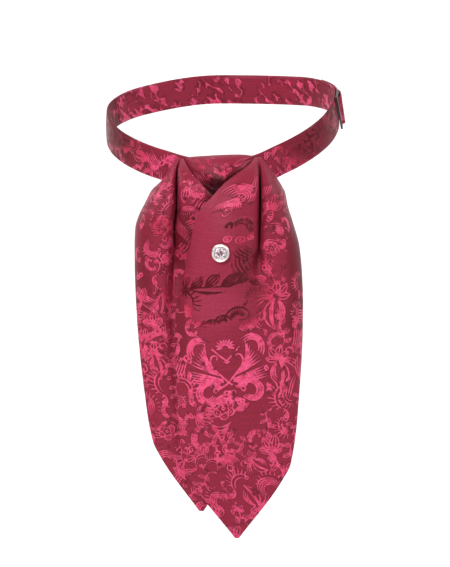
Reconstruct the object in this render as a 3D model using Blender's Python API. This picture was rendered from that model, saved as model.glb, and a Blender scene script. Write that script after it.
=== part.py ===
"""A silk cravat as it is worn: a narrow neckband with a strap adjuster, a flat knot whose wrap shows,
and two puffed blades that cross below it under a jewelled pin.

The front faces -Y, +X is the left side as worn and +Z is up. The origin is the middle of the neck
opening. Sizes are in millimetres and MM turns them into metres. Every stretch of cloth is one wall,
worked out from horizontal sections whose sizes stand in the tables below.
"""

import math

import bmesh
import bpy
import numpy as np
from mathutils import Matrix, Vector

MM = 0.001

# Neckband
NECK_SHIFT_RIGHT = 1.5  # the right side stands this much further out than the left
NECK_HALF_WIDTH = 69.1  # to the band's outer face, side to side
NECK_HALF_DEPTH = 64.0  # to the band's outer face, front to back
BAND_WIDTH = 17.0
BAND_THICKNESS = 1.4
SEAM_GAP = 0.3
BAND_LEAN_LEFT = 2.4  # how far the band's top edge leans in at the left side
BAND_STATION_DEG = 4.0
BAND_COLUMNS = 4
BAND_CROWN = 0.35  # how far the middle of the band stands proud of its edges

# Where the neckband's stretches begin and end, in degrees round the neck from the front
FRONT_SEAM_DEG = -16.0
RIGHT_SEAM_DEG = -112.0
LEFT_SEAM_DEG = 100.0

# Blades
BLADE_THICKNESS = 1.2
STEEP_LIMIT = 1.7  # most that a slanted blade's wall grows along Y
WALL_MIN_STEP = 0.15  # the wrap's wall is thinned where its back closes up further than this
WALL_PASSES = 40
WALL_SOFTENING = 2
NARROW_END = 12.0  # a section narrower than this has a thinner wall
CHEST_FRONT_Y = -61.0  # the line that the blades hang against, level with the knot
CHEST_SLOPE = 0.185  # it comes forward this much for each unit down
CHEST_TOP_Z = -15.0
CHEST_ROUND_RADIUS = 240.0  # its roundness from side to side
BLADE_COLUMNS = 32
EDGE_ROLL = 1.2  # how far a blade's edge turns back
FULL_CREASE_DEPTH = 6.0  # a crease this deep has a sharp fold

# Height of the band's middle line round the neck
NECK_PATH = {
    "angle": (-180, -135, -90, -60, -31, -10, 14, 31, 60, 88, 103, 135, 180),
    "height": (15.0, 9.0, -2.2, -12.8, -21.7, -26.4, -25.0, -18.3, -5.4, 7.0, 11.6, 15.0, 15.0),
}

# The blade that lies on top, from the left corner of the knot. Each row is one height. "inner", "crease"
# and "outer" are places across; "edge", "crown", "valley", "lobe" and "rim" stand off the line behind it.
BLADE_TABLE = ("height", "inner", "crease", "outer", "edge", "crown", "valley", "lobe", "rim")
OVER_BLADE = (
    (-17.0, 17.0, 19.2, 21.4, 4.6, 5.4, 4.6, 5.0, 3.6),
    (-20.0, 14.2, 19.9, 23.8, 10.6, 12.6, 7.6, 9.0, 2.0),
    (-24.0, 8.4, 20.3, 27.0, 17.0, 19.4, 8.0, 13.0, 1.4),
    (-29.2, 0.8, 20.3, 30.6, 20.6, 24.0, 8.4, 17.6, 1.4),
    (-37.5, -7.4, 20.5, 35.2, 23.4, 27.4, 8.8, 22.0, 2.4),
    (-44.0, -13.4, 20.5, 36.4, 23.2, 28.4, 9.4, 23.6, 3.4),
    (-53.0, -17.2, 20.3, 39.2, 21.2, 28.6, 11.5, 24.0, 4.6),
    (-67.8, -20.4, 19.7, 43.2, 17.2, 27.6, 17.2, 22.8, 5.8),
    (-82.8, -23.6, 19.2, 44.6, 14.2, 24.6, 19.4, 20.4, 6.2),
    (-98.2, -27.4, 19.4, 45.2, 12.6, 21.0, 18.0, 18.0, 6.0),
    (-114.0, -28.4, 19.4, 45.0, 12.2, 17.8, 16.4, 15.8, 5.6),
    (-150.0, -27.0, 18.0, 43.0, 9.8, 12.2, 12.0, 11.6, 5.0),
    (-190.0, -23.5, 14.0, 38.0, 7.2, 7.8, 7.8, 7.6, 4.6),
    (-200.0, -18.4, 12.5, 32.6, 6.6, 6.8, 6.8, 6.8, 4.6),
    (-231.0, 5.8, 7.0, 8.4, 4.6, 4.8, 4.8, 4.8, 4.6),
)

# The blade underneath, from the right corner of the knot, with the same columns
UNDER_BLADE = (
    (-17.8, -23.6, -25.2, -27.4, 2.4, 2.8, 2.4, 2.4, 1.2),
    (-20.6, -21.6, -26.4, -29.6, 9.6, 10.4, 3.4, 5.6, -0.6),
    (-24.0, -19.3, -27.2, -31.8, 15.0, 16.2, 4.2, 10.5, -1.6),
    (-29.4, -14.4, -27.3, -35.4, 18.6, 20.2, 4.4, 14.8, -1.4),
    (-36.1, -8.2, -27.3, -42.2, 18.2, 20.8, 4.6, 18.6, 0.4),
    (-42.8, -3.0, -27.4, -45.8, 15.8, 19.6, 5.0, 20.4, 2.0),
    (-49.6, 1.0, -28.2, -49.2, 14.6, 15.6, 5.6, 20.6, 3.0),
    (-57.0, 5.0, -28.9, -51.4, 12.0, 13.6, 5.8, 19.8, 4.0),
    (-66.0, 9.0, -28.9, -51.8, 9.4, 11.4, 5.8, 18.4, 4.6),
    (-78.0, 12.5, -28.9, -51.7, 7.0, 8.6, 5.6, 16.0, 4.8),
    (-98.0, 16.0, -29.2, -51.0, 4.6, 6.0, 6.0, 12.4, 4.4),
    (-114.0, 17.0, -29.2, -50.0, 3.4, 4.6, 6.0, 10.0, 4.0),
    (-150.0, 16.5, -27.0, -46.0, 2.4, 3.4, 4.6, 6.2, 3.0),
    (-178.0, 14.0, -25.0, -41.0, 1.8, 2.6, 3.0, 3.6, 2.4),
    (-187.0, 7.6, -23.2, -36.4, 1.6, 2.2, 2.4, 2.8, 2.2),
    (-216.5, -11.8, -13.2, -14.6, 1.4, 1.6, 1.6, 1.6, 1.4),
)

# Rows of a blade's wall, close together where the cloth is gathered
BLADE_ROW_STEPS = ((-16.0, 1.8), (-24.0, 2.8), (-60.0, 5.0), (-114.0, 9.0), (-150.0, 10.0), (-186.0, 3.9))

# The wrap of the knot. Each row is one place across: "top" and "bottom" are heights and "bulge" is how
# far the wrap's middle stands in front of the band.
WRAP_COLUMNS = ("across", "top", "bottom", "bulge")
WRAP = (
    (-22.6, -17.2, -22.4, 1.0),
    (-19.0, -16.4, -30.0, 6.7),
    (-11.0, -15.7, -40.0, 11.6),
    (-2.0, -15.1, -45.5, 13.6),
    (6.0, -14.9, -40.0, 12.0),
    (11.5, -15.1, -29.0, 7.6),
    (16.6, -16.0, -21.0, 1.6),
)
WRAP_STATIONS = 22
WRAP_PROFILE_POINTS = 17
WRAP_FOLDS = 3
WRAP_FOLD_HEIGHT = 0.9

# Adjuster. Angles are round the neck, "out" is measured from the band's outer face.
SLIDER_ANGLE_DEG = 88.0
SLIDER_HEIGHT = 20.4  # across the strap
SLIDER_SLOT_HEIGHT = 17.8
SLIDER_BARS = (-6.2, -4.4, -0.9, 0.9, 4.4, 6.2)  # where its three bars begin and end along the strap
SLIDER_OUT = 0.4
SLIDER_THICKNESS = 1.2
STRAP_FOLD_THICKNESS = 1.0
STRAP_FOLD = {
    "angle": (85.0, 86.0, 87.0, 88.0, 90.0, 92.0, 94.2, 96.2, 98.0, 120.0),
    "out": (0.4, 1.0, 2.0, 2.3, 2.2, 2.0, 1.9, 1.1, 0.45, 0.4),
}
STRAP_FOLD_STATIONS = 38

# Pin
PIN_ACROSS = -2.0
PIN_HEIGHT = -68.4
PIN_SIDES = 48
PIN_SCALLOPS = 16
PIN_SCALLOP_DEPTH = 0.16
PIN_CLEARANCE = 0.35
# Outline of the setting, a cup with a rim: distance from its middle and height above the cloth
PIN_SETTING = (
    (0.0, 0.0), (4.3, 0.0), (5.1, 0.5), (5.15, 1.3), (4.7, 1.95), (4.2, 2.1), (3.85, 1.7), (3.8, 0.7),
    (0.0, 0.7),
)
# Outline of the faceted stone in the cup
STONE = ((0.0, 1.0), (3.0, 1.0), (3.5, 1.5), (3.5, 1.8), (2.9, 2.5), (1.9, 3.0), (0.0, 3.0))
STONE_SIDES = 12

SILK = ("silk", (0.352, 0.034, 0.072), 0.38, 0.0)
SLIDER_METAL = ("slider", (0.012, 0.012, 0.011), 0.35, 0.6)
PIN_METAL = ("pin_metal", (0.80, 0.77, 0.70), 0.2, 1.0)
CRYSTAL = ("crystal", (0.86, 0.82, 0.88), 0.05, 0.0)


def clear_scene():
    for thing in list(bpy.data.objects):
        bpy.data.objects.remove(thing)


def material(finish):
    name, colour, roughness, metallic = finish
    made = bpy.data.materials.get(name) or bpy.data.materials.new(name)
    made.use_nodes = True
    shader = made.node_tree.nodes["Principled BSDF"]
    shader.inputs["Base Color"].default_value = (*colour, 1.0)
    shader.inputs["Roughness"].default_value = roughness
    shader.inputs["Metallic"].default_value = metallic
    made.diffuse_color = (*colour, 1.0)
    return made


def smooth_through(places, values, at):
    """A curve through the given values that never swings past them: a cubic with limited slopes."""
    order = np.argsort(places)
    x = np.asarray(places, float)[order]
    y = np.asarray(values, float)[order]
    step = np.diff(x)
    slope = np.diff(y) / step
    same_way = slope[:-1] * slope[1:] > 0
    ahead = 2 * step[1:] + step[:-1]
    behind = step[1:] + 2 * step[:-1]
    safe_first = np.where(same_way, slope[:-1], 1.0)
    safe_second = np.where(same_way, slope[1:], 1.0)
    inner = np.where(same_way, (ahead + behind) / (ahead / safe_first + behind / safe_second), 0.0)
    tangent = np.concatenate([slope[:1], inner, slope[-1:]])
    at = np.clip(np.asarray(at, float), x[0], x[-1])
    i = np.clip(np.searchsorted(x, at, side="right") - 1, 0, len(step) - 1)
    t = (at - x[i]) / step[i]
    return (
        y[i] * (1 + 2 * t) * (1 - t) ** 2
        + tangent[i] * step[i] * t * (1 - t) ** 2
        + y[i + 1] * t * t * (3 - 2 * t)
        + tangent[i + 1] * step[i] * t * t * (t - 1)
    )


def table_at(columns, rows, first_column_values):
    """The table's columns at new values of its first column, as a dict of arrays."""
    data = np.array(rows, float)
    return {
        name: smooth_through(data[:, 0], data[:, i], first_column_values)
        for i, name in enumerate(columns)
    }


def spline_weights(controls, samples):
    """Weights of a clamped cubic B-spline with that many control points, at evenly spaced samples."""
    degree = 3
    knots = np.concatenate([np.zeros(degree), np.linspace(0, 1, controls - degree + 1), np.ones(degree)])
    at = np.linspace(0, 1, samples)[:, None]
    weights = ((at >= knots[None, :-1]) & (at < knots[None, 1:])).astype(float)
    weights[-1] = 0.0
    weights[-1, controls - 1] = 1.0
    for d in range(1, degree + 1):
        left_span = knots[d:-1] - knots[: -d - 1]
        right_span = knots[d + 1 :] - knots[1:-d]
        left = (at - knots[None, : -d - 1]) / np.where(left_span > 0, left_span, 1.0)
        right = (knots[None, d + 1 :] - at) / np.where(right_span > 0, right_span, 1.0)
        left = np.where(left_span > 0, left, 0.0)
        right = np.where(right_span > 0, right, 0.0)
        weights = left * weights[:, :-1] + right * weights[:, 1:]
    weights[-1] = 0.0
    weights[-1, controls - 1] = 1.0
    return weights


def grid_normals(grid):
    """Unit normals of a grid of points, across its rows and columns."""
    down = np.gradient(grid, axis=0)
    across = np.gradient(grid, axis=1)
    normal = np.cross(across, down)
    return normal / np.maximum(np.linalg.norm(normal, axis=2, keepdims=True), 1e-9)


def softened(normals):
    """Normals blended with their neighbours along both ways of the grid."""
    for axis in (0, 1):
        count = normals.shape[axis]
        ahead = normals.take(np.minimum(np.arange(count) + 1, count - 1), axis)
        behind = normals.take(np.maximum(np.arange(count) - 1, 0), axis)
        normals = (ahead + 2 * normals + behind) / 4
    return normals / np.linalg.norm(normals, axis=2, keepdims=True)


def wall_behind(face, thickness):
    """The back of a cloth wall, thinned inside a tight fold so that it never crosses itself."""
    normals = grid_normals(face)
    if np.median(normals[..., 1]) > 0:
        normals = -normals
    for _ in range(WALL_SOFTENING):
        normals = softened(normals)
    reach = np.linalg.norm(face[:, -1] - face[:, 0], axis=1) / NARROW_END
    depth = thickness * np.clip(reach, 0.5, 1)[:, None] * np.ones(face.shape[:2])
    for _ in range(WALL_PASSES):
        back = face - depth[..., None] * normals
        tight = np.zeros(depth.shape, bool)
        for axis in (0, 1):
            front_step = np.diff(face, axis=axis)
            back_step = np.diff(back, axis=axis)
            folded = (front_step * back_step).sum(2) < WALL_MIN_STEP * (front_step ** 2).sum(2)
            if axis == 0:
                tight[:-1] |= folded
                tight[1:] |= folded
            else:
                tight[:, :-1] |= folded
                tight[:, 1:] |= folded
        depth = np.where(tight, depth * 0.9, depth)
    return face - depth[..., None] * normals


def chest_y(across, height):
    """The line that the blades hang against, gently round from side to side."""
    return CHEST_FRONT_Y - CHEST_SLOPE * (CHEST_TOP_Z - height) + across**2 / (2 * CHEST_ROUND_RADIUS)


def neck_height(angle):
    places = np.array(NECK_PATH["angle"], float)
    heights = np.array(NECK_PATH["height"], float)
    turn = 360.0
    places = np.concatenate([places[1:-1] - turn, places, places[1:-1] + turn])
    heights = np.concatenate([heights[1:-1], heights, heights[1:-1]])
    return smooth_through(places, heights, angle)


def arc_per_degree(angle):
    turn = np.radians(angle)
    along = np.hypot(NECK_HALF_WIDTH * np.cos(turn), NECK_HALF_DEPTH * np.sin(turn))
    return along * math.pi / 180


def neck_point(angle, up, out):
    """A point of the neckband, "up" across its width, square to its path, and "out" from its outer face."""
    climb = np.arctan((neck_height(angle + 1) - neck_height(angle - 1)) / (2 * arc_per_degree(angle)))
    turn = np.radians(angle - up * np.sin(climb) / arc_per_degree(angle))
    lean = BAND_LEAN_LEFT * np.clip(np.sin(turn), 0, 1) ** 2 * up / BAND_WIDTH
    x = (NECK_HALF_WIDTH + out - lean) * np.sin(turn) - NECK_SHIFT_RIGHT
    y = -(NECK_HALF_DEPTH + out - lean) * np.cos(turn)
    return np.stack(np.broadcast_arrays(x, y, neck_height(angle) + up * np.cos(climb)), axis=-1)


def closed_wall(name, outer, inner, finish):
    """A closed solid between two grids of points, the outer one and the inner one, in millimetres."""
    rows, columns = outer.shape[:2]
    count = rows * columns
    points = np.concatenate([outer.reshape(-1, 3), inner.reshape(-1, 3)]) * MM
    index = np.arange(count).reshape(rows, columns)
    a, b = index[:-1, :-1].ravel(), index[:-1, 1:].ravel()
    c, d = index[1:, 1:].ravel(), index[1:, :-1].ravel()
    faces = [np.stack([a, b, c, d], 1), np.stack([a, d, c, b], 1) + count]
    rim = np.concatenate([index[0, :], index[1:, -1], index[-1, -2::-1], index[-2:0:-1, 0]])
    after = np.roll(rim, -1)
    faces.append(np.stack([after, rim, rim + count, after + count], 1))
    mesh = bpy.data.meshes.new(name)
    mesh.from_pydata(points.tolist(), [], np.concatenate(faces).tolist())
    mesh.update()
    if signed_volume(mesh) < 0:
        mesh.flip_normals()
    return add_object(name, mesh, finish)


def signed_volume(mesh):
    mesh.calc_loop_triangles()
    total = 0.0
    for triangle in mesh.loop_triangles:
        p, q, r = (mesh.vertices[i].co for i in triangle.vertices)
        total += p.dot(q.cross(r))
    return total


def add_object(name, mesh, finish):
    mesh.shade_smooth()
    mesh.set_sharp_from_angle(angle=math.radians(50))
    mesh.materials.append(material(finish))
    thing = bpy.data.objects.new(name, mesh)
    bpy.context.scene.collection.objects.link(thing)
    return thing


def band_stretch(name, start, end, width=BAND_WIDTH, thickness=BAND_THICKNESS, out=0.0):
    """A stretch of the neckband from one angle to another, slightly crowned across its width."""
    stations = max(3, round(abs(end - start) / BAND_STATION_DEG) + 1)
    angle = np.linspace(start, end, stations)[:, None]
    across = np.linspace(-1, 1, BAND_COLUMNS + 1)[None, :]
    crown = BAND_CROWN * (1 - across**2)
    outer = neck_point(angle, across * width / 2, out - BAND_CROWN + crown)
    inner = neck_point(angle, across * width / 2, out - BAND_CROWN - thickness + 0 * crown)
    return closed_wall(name, outer, inner, SILK)


def blade_heights(rows):
    """Heights of a blade's sections, from its top to its tip."""
    heights = []
    for (start, step), following in zip(BLADE_ROW_STEPS, BLADE_ROW_STEPS[1:] + ((rows[-1][0], 0),)):
        end = max(following[0], rows[-1][0])
        if end < start:
            heights.extend(np.linspace(start, end, max(2, round((start - end) / step) + 1))[:-1])
    heights.append(rows[-1][0])
    return np.array(heights)


def blade_controls(at, wall=0.0, drop=0.0):
    """Control points of a blade's cross section, as places across and distances off the line behind it."""
    # The panel runs from the inner edge to the crease and the lobe from the crease to the outer edge. A
    # deep crease is a narrow slot and a shallow one a soft dip. The back of the wall is the same section
    # drawn in by wall at its sides and by drop along its front.
    side = np.sign(at["outer"] - at["inner"])
    panel = np.abs(at["crease"] - at["inner"])
    lobe = np.abs(at["outer"] - at["crease"])
    roll = np.minimum(EDGE_ROLL, 0.25 * np.minimum(panel, lobe))
    depth = np.clip((np.minimum(at["crown"], at["lobe"]) - at["valley"]) / FULL_CREASE_DEPTH, 0, 1)
    level = {name: at[name] - drop for name in ("edge", "crown", "valley", "lobe")}
    level["rim"] = np.minimum(at["rim"], np.where(drop > 0, level["lobe"] - 0.15, at["rim"]))
    shift = depth * wall

    def blend(shallow, deep):
        return shallow + depth * (deep - shallow)

    def rise(low, high, share):
        return level[low] + share * (level[high] - level[low])

    inner, crease, outer = at["inner"], at["crease"], at["outer"]
    slot = np.minimum(1.2, 0.1 * lobe)
    begin = inner + side * wall
    panel = panel - wall
    top = at["edge"] - np.where(drop > 0, drop + 0.15, 0.8 * roll)
    turned_in = wall + np.where(drop > 0, 0.0, 0.1) * roll
    controls = (
        (begin + side * np.where(drop > 0, 0.0, 0.1) * roll, top),
        (begin, level["edge"] - np.where(drop > 0, 0.08, 0.35 * roll)),
        (begin + side * 0.3 * roll, level["edge"]),
        (begin + side * 0.16 * panel, rise("edge", "crown", 0.55)),
        (begin + side * 0.42 * panel, rise("edge", "crown", 1.0)),
        (begin + side * blend(0.62, 0.72) * panel, rise("edge", "crown", 1.0)),
        (begin + side * (blend(0.78, 0.91) * panel - shift), rise("valley", "crown", blend(0.7, 0.86))),
        (crease - side * (blend(0.1 * panel, slot) + shift), rise("valley", "crown", blend(0.2, 0.45))),
        (crease - side * (blend(0.02 * panel, 0.3) + 0.8 * shift), level["valley"]),
        (crease + side * (blend(0.04 * lobe, 0.7) + 0.8 * shift), level["valley"]),
        (crease + side * (blend(0.12 * lobe, slot + 0.1) + shift), rise("valley", "lobe", blend(0.3, 0.6))),
        (crease + side * (blend(0.26, 0.16) * lobe + 0.8 * shift), rise("valley", "lobe", blend(0.8, 1.0))),
        (crease + side * 0.50 * (lobe - wall), rise("valley", "lobe", 1.04)),
        (crease + side * 0.82 * (lobe - wall), rise("rim", "lobe", 0.78)),
        (outer - side * wall, rise("rim", "lobe", 0.30)),
        (outer - side * wall, level["rim"]),
        (outer - side * turned_in, level["rim"] - np.where(drop > 0, 0.15, 0.3) * roll),
    )
    across = np.stack([place for place, _ in controls], axis=1)
    off = np.stack([distance for _, distance in controls], axis=1)
    return across, off


def blade_faces(rows, columns=BLADE_COLUMNS):
    """Points of a blade's front and back: one row for each height, from the inner edge to the outer one."""
    heights = blade_heights(rows)
    at = table_at(BLADE_TABLE, rows, heights)
    narrower = np.minimum(np.abs(at["crease"] - at["inner"]), np.abs(at["outer"] - at["crease"]))
    slant = np.sqrt(1 + np.gradient(at["crown"], heights) ** 2)
    wall = np.minimum(BLADE_THICKNESS, 0.28 * narrower)
    drop = BLADE_THICKNESS * np.minimum(slant, STEEP_LIMIT)
    faces = []
    for inset, lower in ((0.0 * wall, 0.0 * drop), (wall, drop)):
        across, out = blade_controls(at, inset, lower)
        weights = spline_weights(across.shape[1], columns)
        x = across @ weights.T
        out = out @ weights.T
        low = (np.minimum(at["inner"], at["outer"]) + inset)[:, None]
        high = (np.maximum(at["inner"], at["outer"]) - inset)[:, None]
        reach_low = x.min(axis=1, keepdims=True)
        reach_high = x.max(axis=1, keepdims=True)
        x = low + (x - reach_low) * (high - low) / (reach_high - reach_low)
        z = np.repeat(heights[:, None], columns, axis=1)
        faces.append(np.stack([x, chest_y(x, z) - out, z], axis=2))
    return faces


def wrap_grid():
    """The front of the knot: a soft band across it, gathered towards its left corner."""
    rows = np.array(WRAP, float)
    across = np.linspace(rows[0, 0], rows[-1, 0], WRAP_STATIONS)
    at = table_at(WRAP_COLUMNS, WRAP, across)
    # Each profile runs from the tucked top edge, over the front, to the tucked bottom edge.
    share_down = np.array((0.0, 0.0, 0.02, 0.14, 0.34, 0.62, 0.88, 1.0, 0.98))
    share_out = np.array((0.12, 0.16, 0.42, 0.86, 1.0, 1.0, 0.76, 0.34, 0.08))
    weights = spline_weights(len(share_down), WRAP_PROFILE_POINTS)
    down = weights @ share_down
    out = weights @ share_out
    height = at["top"][:, None] + (at["bottom"] - at["top"])[:, None] * down[None, :]
    gather = np.linspace(0.35, 1.0, WRAP_STATIONS)[:, None]
    fade = np.clip(at["bulge"] / at["bulge"].max(), 0, 1)[:, None]
    waves = np.sin(2 * math.pi * WRAP_FOLDS * down) * out
    folds = WRAP_FOLD_HEIGHT * gather * fade * waves[None, :]
    angle = np.degrees(np.arcsin((across + NECK_SHIFT_RIGHT) / NECK_HALF_WIDTH))[:, None]
    stand_off = SEAM_GAP + BLADE_THICKNESS + at["bulge"][:, None] * out[None, :] + folds
    placed = neck_point(angle, 0 * stand_off, stand_off)
    placed[..., 0] = across[:, None]
    placed[..., 2] = height
    return placed


def knot_wrap():
    grid = wrap_grid()
    return closed_wall("knot_wrap", grid, wall_behind(grid, BLADE_THICKNESS), SILK)


def slider_plate():
    """The slide: a thin rectangular frame with a bar across its middle, bent to the neckband."""
    along = np.array(SLIDER_BARS)
    up = np.array((-SLIDER_HEIGHT, -SLIDER_SLOT_HEIGHT, SLIDER_SLOT_HEIGHT, SLIDER_HEIGHT)) / 2
    angle = SLIDER_ANGLE_DEG + along / float(arc_per_degree(SLIDER_ANGLE_DEG))
    solid = np.ones((len(along) - 1, 3), bool)
    solid[1::2, 1] = False
    layers = [
        neck_point(angle[:, None], up[None, :], out)
        for out in (SLIDER_OUT, SLIDER_OUT + SLIDER_THICKNESS)
    ]
    mesh = bmesh.new()
    low, high = ([[mesh.verts.new(point * MM) for point in row] for row in layer] for layer in layers)
    for i, j in np.argwhere(solid):
        corners = ((i, j), (i + 1, j), (i + 1, j + 1), (i, j + 1))
        mesh.faces.new([high[a][b] for a, b in corners])
        mesh.faces.new([low[a][b] for a, b in reversed(corners)])
        beside = ((i, j - 1), (i + 1, j), (i, j + 1), (i - 1, j))
        for k, (a, b) in enumerate(beside):
            if not (0 <= a < solid.shape[0] and 0 <= b < 3 and solid[a, b]):
                p, q = corners[k], corners[(k + 1) % 4]
                mesh.faces.new([low[p[0]][p[1]], low[q[0]][q[1]], high[q[0]][q[1]], high[p[0]][p[1]]])
    bmesh.ops.recalc_face_normals(mesh, faces=mesh.faces)
    made = bpy.data.meshes.new("slider")
    mesh.to_mesh(made)
    mesh.free()
    return add_object("slider", made, SLIDER_METAL)


def strap_return():
    """The strap's doubled end: up through the slide's front slot, over its bars and back along the strap."""
    places = STRAP_FOLD["angle"]
    bent = places[0] + (places[-1] - places[0]) * np.linspace(0, 1, STRAP_FOLD_STATIONS) ** 1.8
    angle = bent[:, None]
    up = np.linspace(-1, 1, BAND_COLUMNS + 1)[None, :] * BAND_WIDTH / 2
    out = smooth_through(places, STRAP_FOLD["out"], angle)
    inner = neck_point(angle, up, out)
    outer = neck_point(angle, up, out + STRAP_FOLD_THICKNESS)
    return closed_wall("strap_return", outer, inner, SILK)


def turned(name, outline, sides, finish, scallop=0.0):
    """A closed solid turned from an outline that starts and ends on its axis. Its rim can be scalloped."""
    turn = np.linspace(0, 2 * math.pi, sides, endpoint=False)
    mesh = bmesh.new()
    widest = max(radius for radius, _ in outline)
    rings = []
    for radius, height in outline:
        if radius == 0:
            rings.append([mesh.verts.new((0, 0, height * MM))])
            continue
        wave = scallop * max(0.0, radius / widest - 0.8) * 5 * np.cos(PIN_SCALLOPS * turn)
        across = radius + wave
        ring = np.stack([across * np.cos(turn), across * np.sin(turn), 0 * turn + height], axis=1)
        rings.append([mesh.verts.new(point * MM) for point in ring])
    for lower, upper in zip(rings, rings[1:]):
        for i in range(sides):
            k = (i + 1) % sides
            low = [lower[i % len(lower)], lower[k % len(lower)]]
            high = [upper[k % len(upper)], upper[i % len(upper)]]
            mesh.faces.new(list(dict.fromkeys(low + high)))
    bmesh.ops.recalc_face_normals(mesh, faces=mesh.faces)
    made = bpy.data.meshes.new(name)
    mesh.to_mesh(made)
    mesh.free()
    return add_object(name, made, finish)


def seat_on(thing, grid, across, height):
    """Stands a turned piece on the blade at that place, square to the cloth."""
    near = np.hypot(grid[..., 0] - across, grid[..., 2] - height) < 6.0
    normal = Vector(grid_normals(grid)[near].mean(axis=0)).normalized()
    if normal.y > 0:
        normal = -normal
    front = grid[near][:, 1].min()
    place = Vector((across, front, height)) + normal * PIN_CLEARANCE
    facing = normal.to_track_quat("Z", "Y").to_matrix().to_4x4()
    thing.matrix_world = Matrix.Translation(place * MM) @ facing


def main():
    clear_scene()
    gap_deg = SEAM_GAP / float(arc_per_degree(FRONT_SEAM_DEG))
    band_stretch("neckband_right", FRONT_SEAM_DEG - gap_deg, RIGHT_SEAM_DEG)
    band_stretch("neckband_left", FRONT_SEAM_DEG, LEFT_SEAM_DEG)
    seam_deg = SEAM_GAP / float(arc_per_degree(LEFT_SEAM_DEG))
    band_stretch("back_strap", LEFT_SEAM_DEG + seam_deg, RIGHT_SEAM_DEG + 360 - seam_deg)
    slider_plate()
    strap_return()
    knot_wrap()
    under, under_back = blade_faces(UNDER_BLADE)
    closed_wall("under_blade", under, under_back, SILK)
    over, over_back = blade_faces(OVER_BLADE)
    closed_wall("over_blade", over, over_back, SILK)
    setting = turned("pin_setting", PIN_SETTING, PIN_SIDES, PIN_METAL, PIN_SCALLOP_DEPTH)
    stone = turned("pin_stone", STONE, STONE_SIDES, CRYSTAL)
    for piece in (setting, stone):
        seat_on(piece, over, PIN_ACROSS, PIN_HEIGHT)


main()
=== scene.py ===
import math

import bmesh
import bpy
import numpy as np
from mathutils import Matrix, Vector


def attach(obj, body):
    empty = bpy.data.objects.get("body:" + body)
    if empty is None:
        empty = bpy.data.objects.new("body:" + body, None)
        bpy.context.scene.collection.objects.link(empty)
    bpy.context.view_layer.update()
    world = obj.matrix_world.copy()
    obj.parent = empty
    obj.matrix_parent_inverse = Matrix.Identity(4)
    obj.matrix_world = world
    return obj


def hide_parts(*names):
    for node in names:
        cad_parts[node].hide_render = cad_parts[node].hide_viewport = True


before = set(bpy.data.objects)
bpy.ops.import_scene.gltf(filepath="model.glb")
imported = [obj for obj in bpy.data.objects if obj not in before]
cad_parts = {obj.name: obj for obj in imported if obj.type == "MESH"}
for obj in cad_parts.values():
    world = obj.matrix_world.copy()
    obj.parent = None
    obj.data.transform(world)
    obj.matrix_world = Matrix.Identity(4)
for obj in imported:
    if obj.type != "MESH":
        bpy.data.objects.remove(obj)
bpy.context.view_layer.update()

# A wine silk cravat as it is worn. Sizes are millimetres, which mm turns into metres, but those of the studio
# and the flat sizes of the sheets are metres
mm = 0.001
scene = bpy.context.scene

# Camera first: a long lens a little above level
cameraSettings = {
    "aim": (0.3, 0.0, -97.8),
    "distance": 1800.0,
    "elevation": 7.0,
    "lens": 190.5,
}


def makeCamera(settings):
    lift = math.radians(settings["elevation"])
    back = Vector((0.0, -math.cos(lift), math.sin(lift)))
    data = bpy.data.cameras.new("camera")
    data.lens = settings["lens"]
    data.clip_end = 100.0
    camera = bpy.data.objects.new("camera", data)
    camera.location = (Vector(settings["aim"]) + back * settings["distance"]) * mm
    camera.rotation_euler = back.to_track_quat("Z", "Y").to_euler()
    scene.collection.objects.link(camera)
    scene.camera = camera


makeCamera(cameraSettings)
scene.view_settings.view_transform = "Standard"
print("camera placed")

# Sizes that several pieces share
neck = {
    "shift": 1.5,  # the right side stands this much further out than the left
    "halfWidth": 69.1,
    "halfDepth": 64.0,
    "leanLeft": 2.4,
    "angle": (-180, -135, -90, -60, -31, -10, 14, 31, 60, 88, 103, 135, 180),
    "height": (15.0, 9.0, -2.2, -12.8, -21.7, -26.4, -25.0, -18.3, -5.4, 7.0, 11.6, 15.0, 15.0),
}
strap = {
    "width": 17.0,
    "thickness": 1.4,
    "crown": 0.35,
    "frontSeam": -16.0,
    "rightSeam": -112.0,
    "leftSeam": 100.0,
    "seamGap": 0.3,
    "stationDeg": 0.55,
    "columns": 28,
    "pucker": 0.14,  # the silk's small unevenness along the strap
}
clothFall = {
    "frontY": -61.0,  # the line that the blades hang against
    "slope": 0.185,
    "topZ": -15.0,
    "roundRadius": 240.0,
}
bladeWall = 1.2
edgeRound = 0.3  # share of the wall by which the middle of a shell's edge stands out


# Curves. A cubic through table values whose slopes are limited, so that it never swings past them
def smoothThrough(places, values, at):
    order = np.argsort(places)
    x = np.asarray(places, float)[order]
    y = np.asarray(values, float)[order]
    step = np.diff(x)
    slope = np.diff(y) / step
    sameWay = slope[:-1] * slope[1:] > 0
    ahead = 2 * step[1:] + step[:-1]
    behind = step[1:] + 2 * step[:-1]
    first = np.where(sameWay, slope[:-1], 1.0)
    second = np.where(sameWay, slope[1:], 1.0)
    middle = np.where(sameWay, (ahead + behind) / (ahead / first + behind / second), 0.0)
    tangent = np.concatenate([slope[:1], middle, slope[-1:]])
    at = np.clip(np.asarray(at, float), x[0], x[-1])
    i = np.clip(np.searchsorted(x, at, side="right") - 1, 0, len(step) - 1)
    t = (at - x[i]) / step[i]
    return (
        y[i] * (1 + 2 * t) * (1 - t) ** 2
        + tangent[i] * step[i] * t * (1 - t) ** 2
        + y[i + 1] * t * t * (3 - 2 * t)
        + tangent[i + 1] * step[i] * t * t * (t - 1)
    )


def tableAt(columns, rows, firstValues):
    data = np.array(rows, float)
    return {name: smoothThrough(data[:, 0], data[:, i], firstValues) for i, name in enumerate(columns)}


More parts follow.
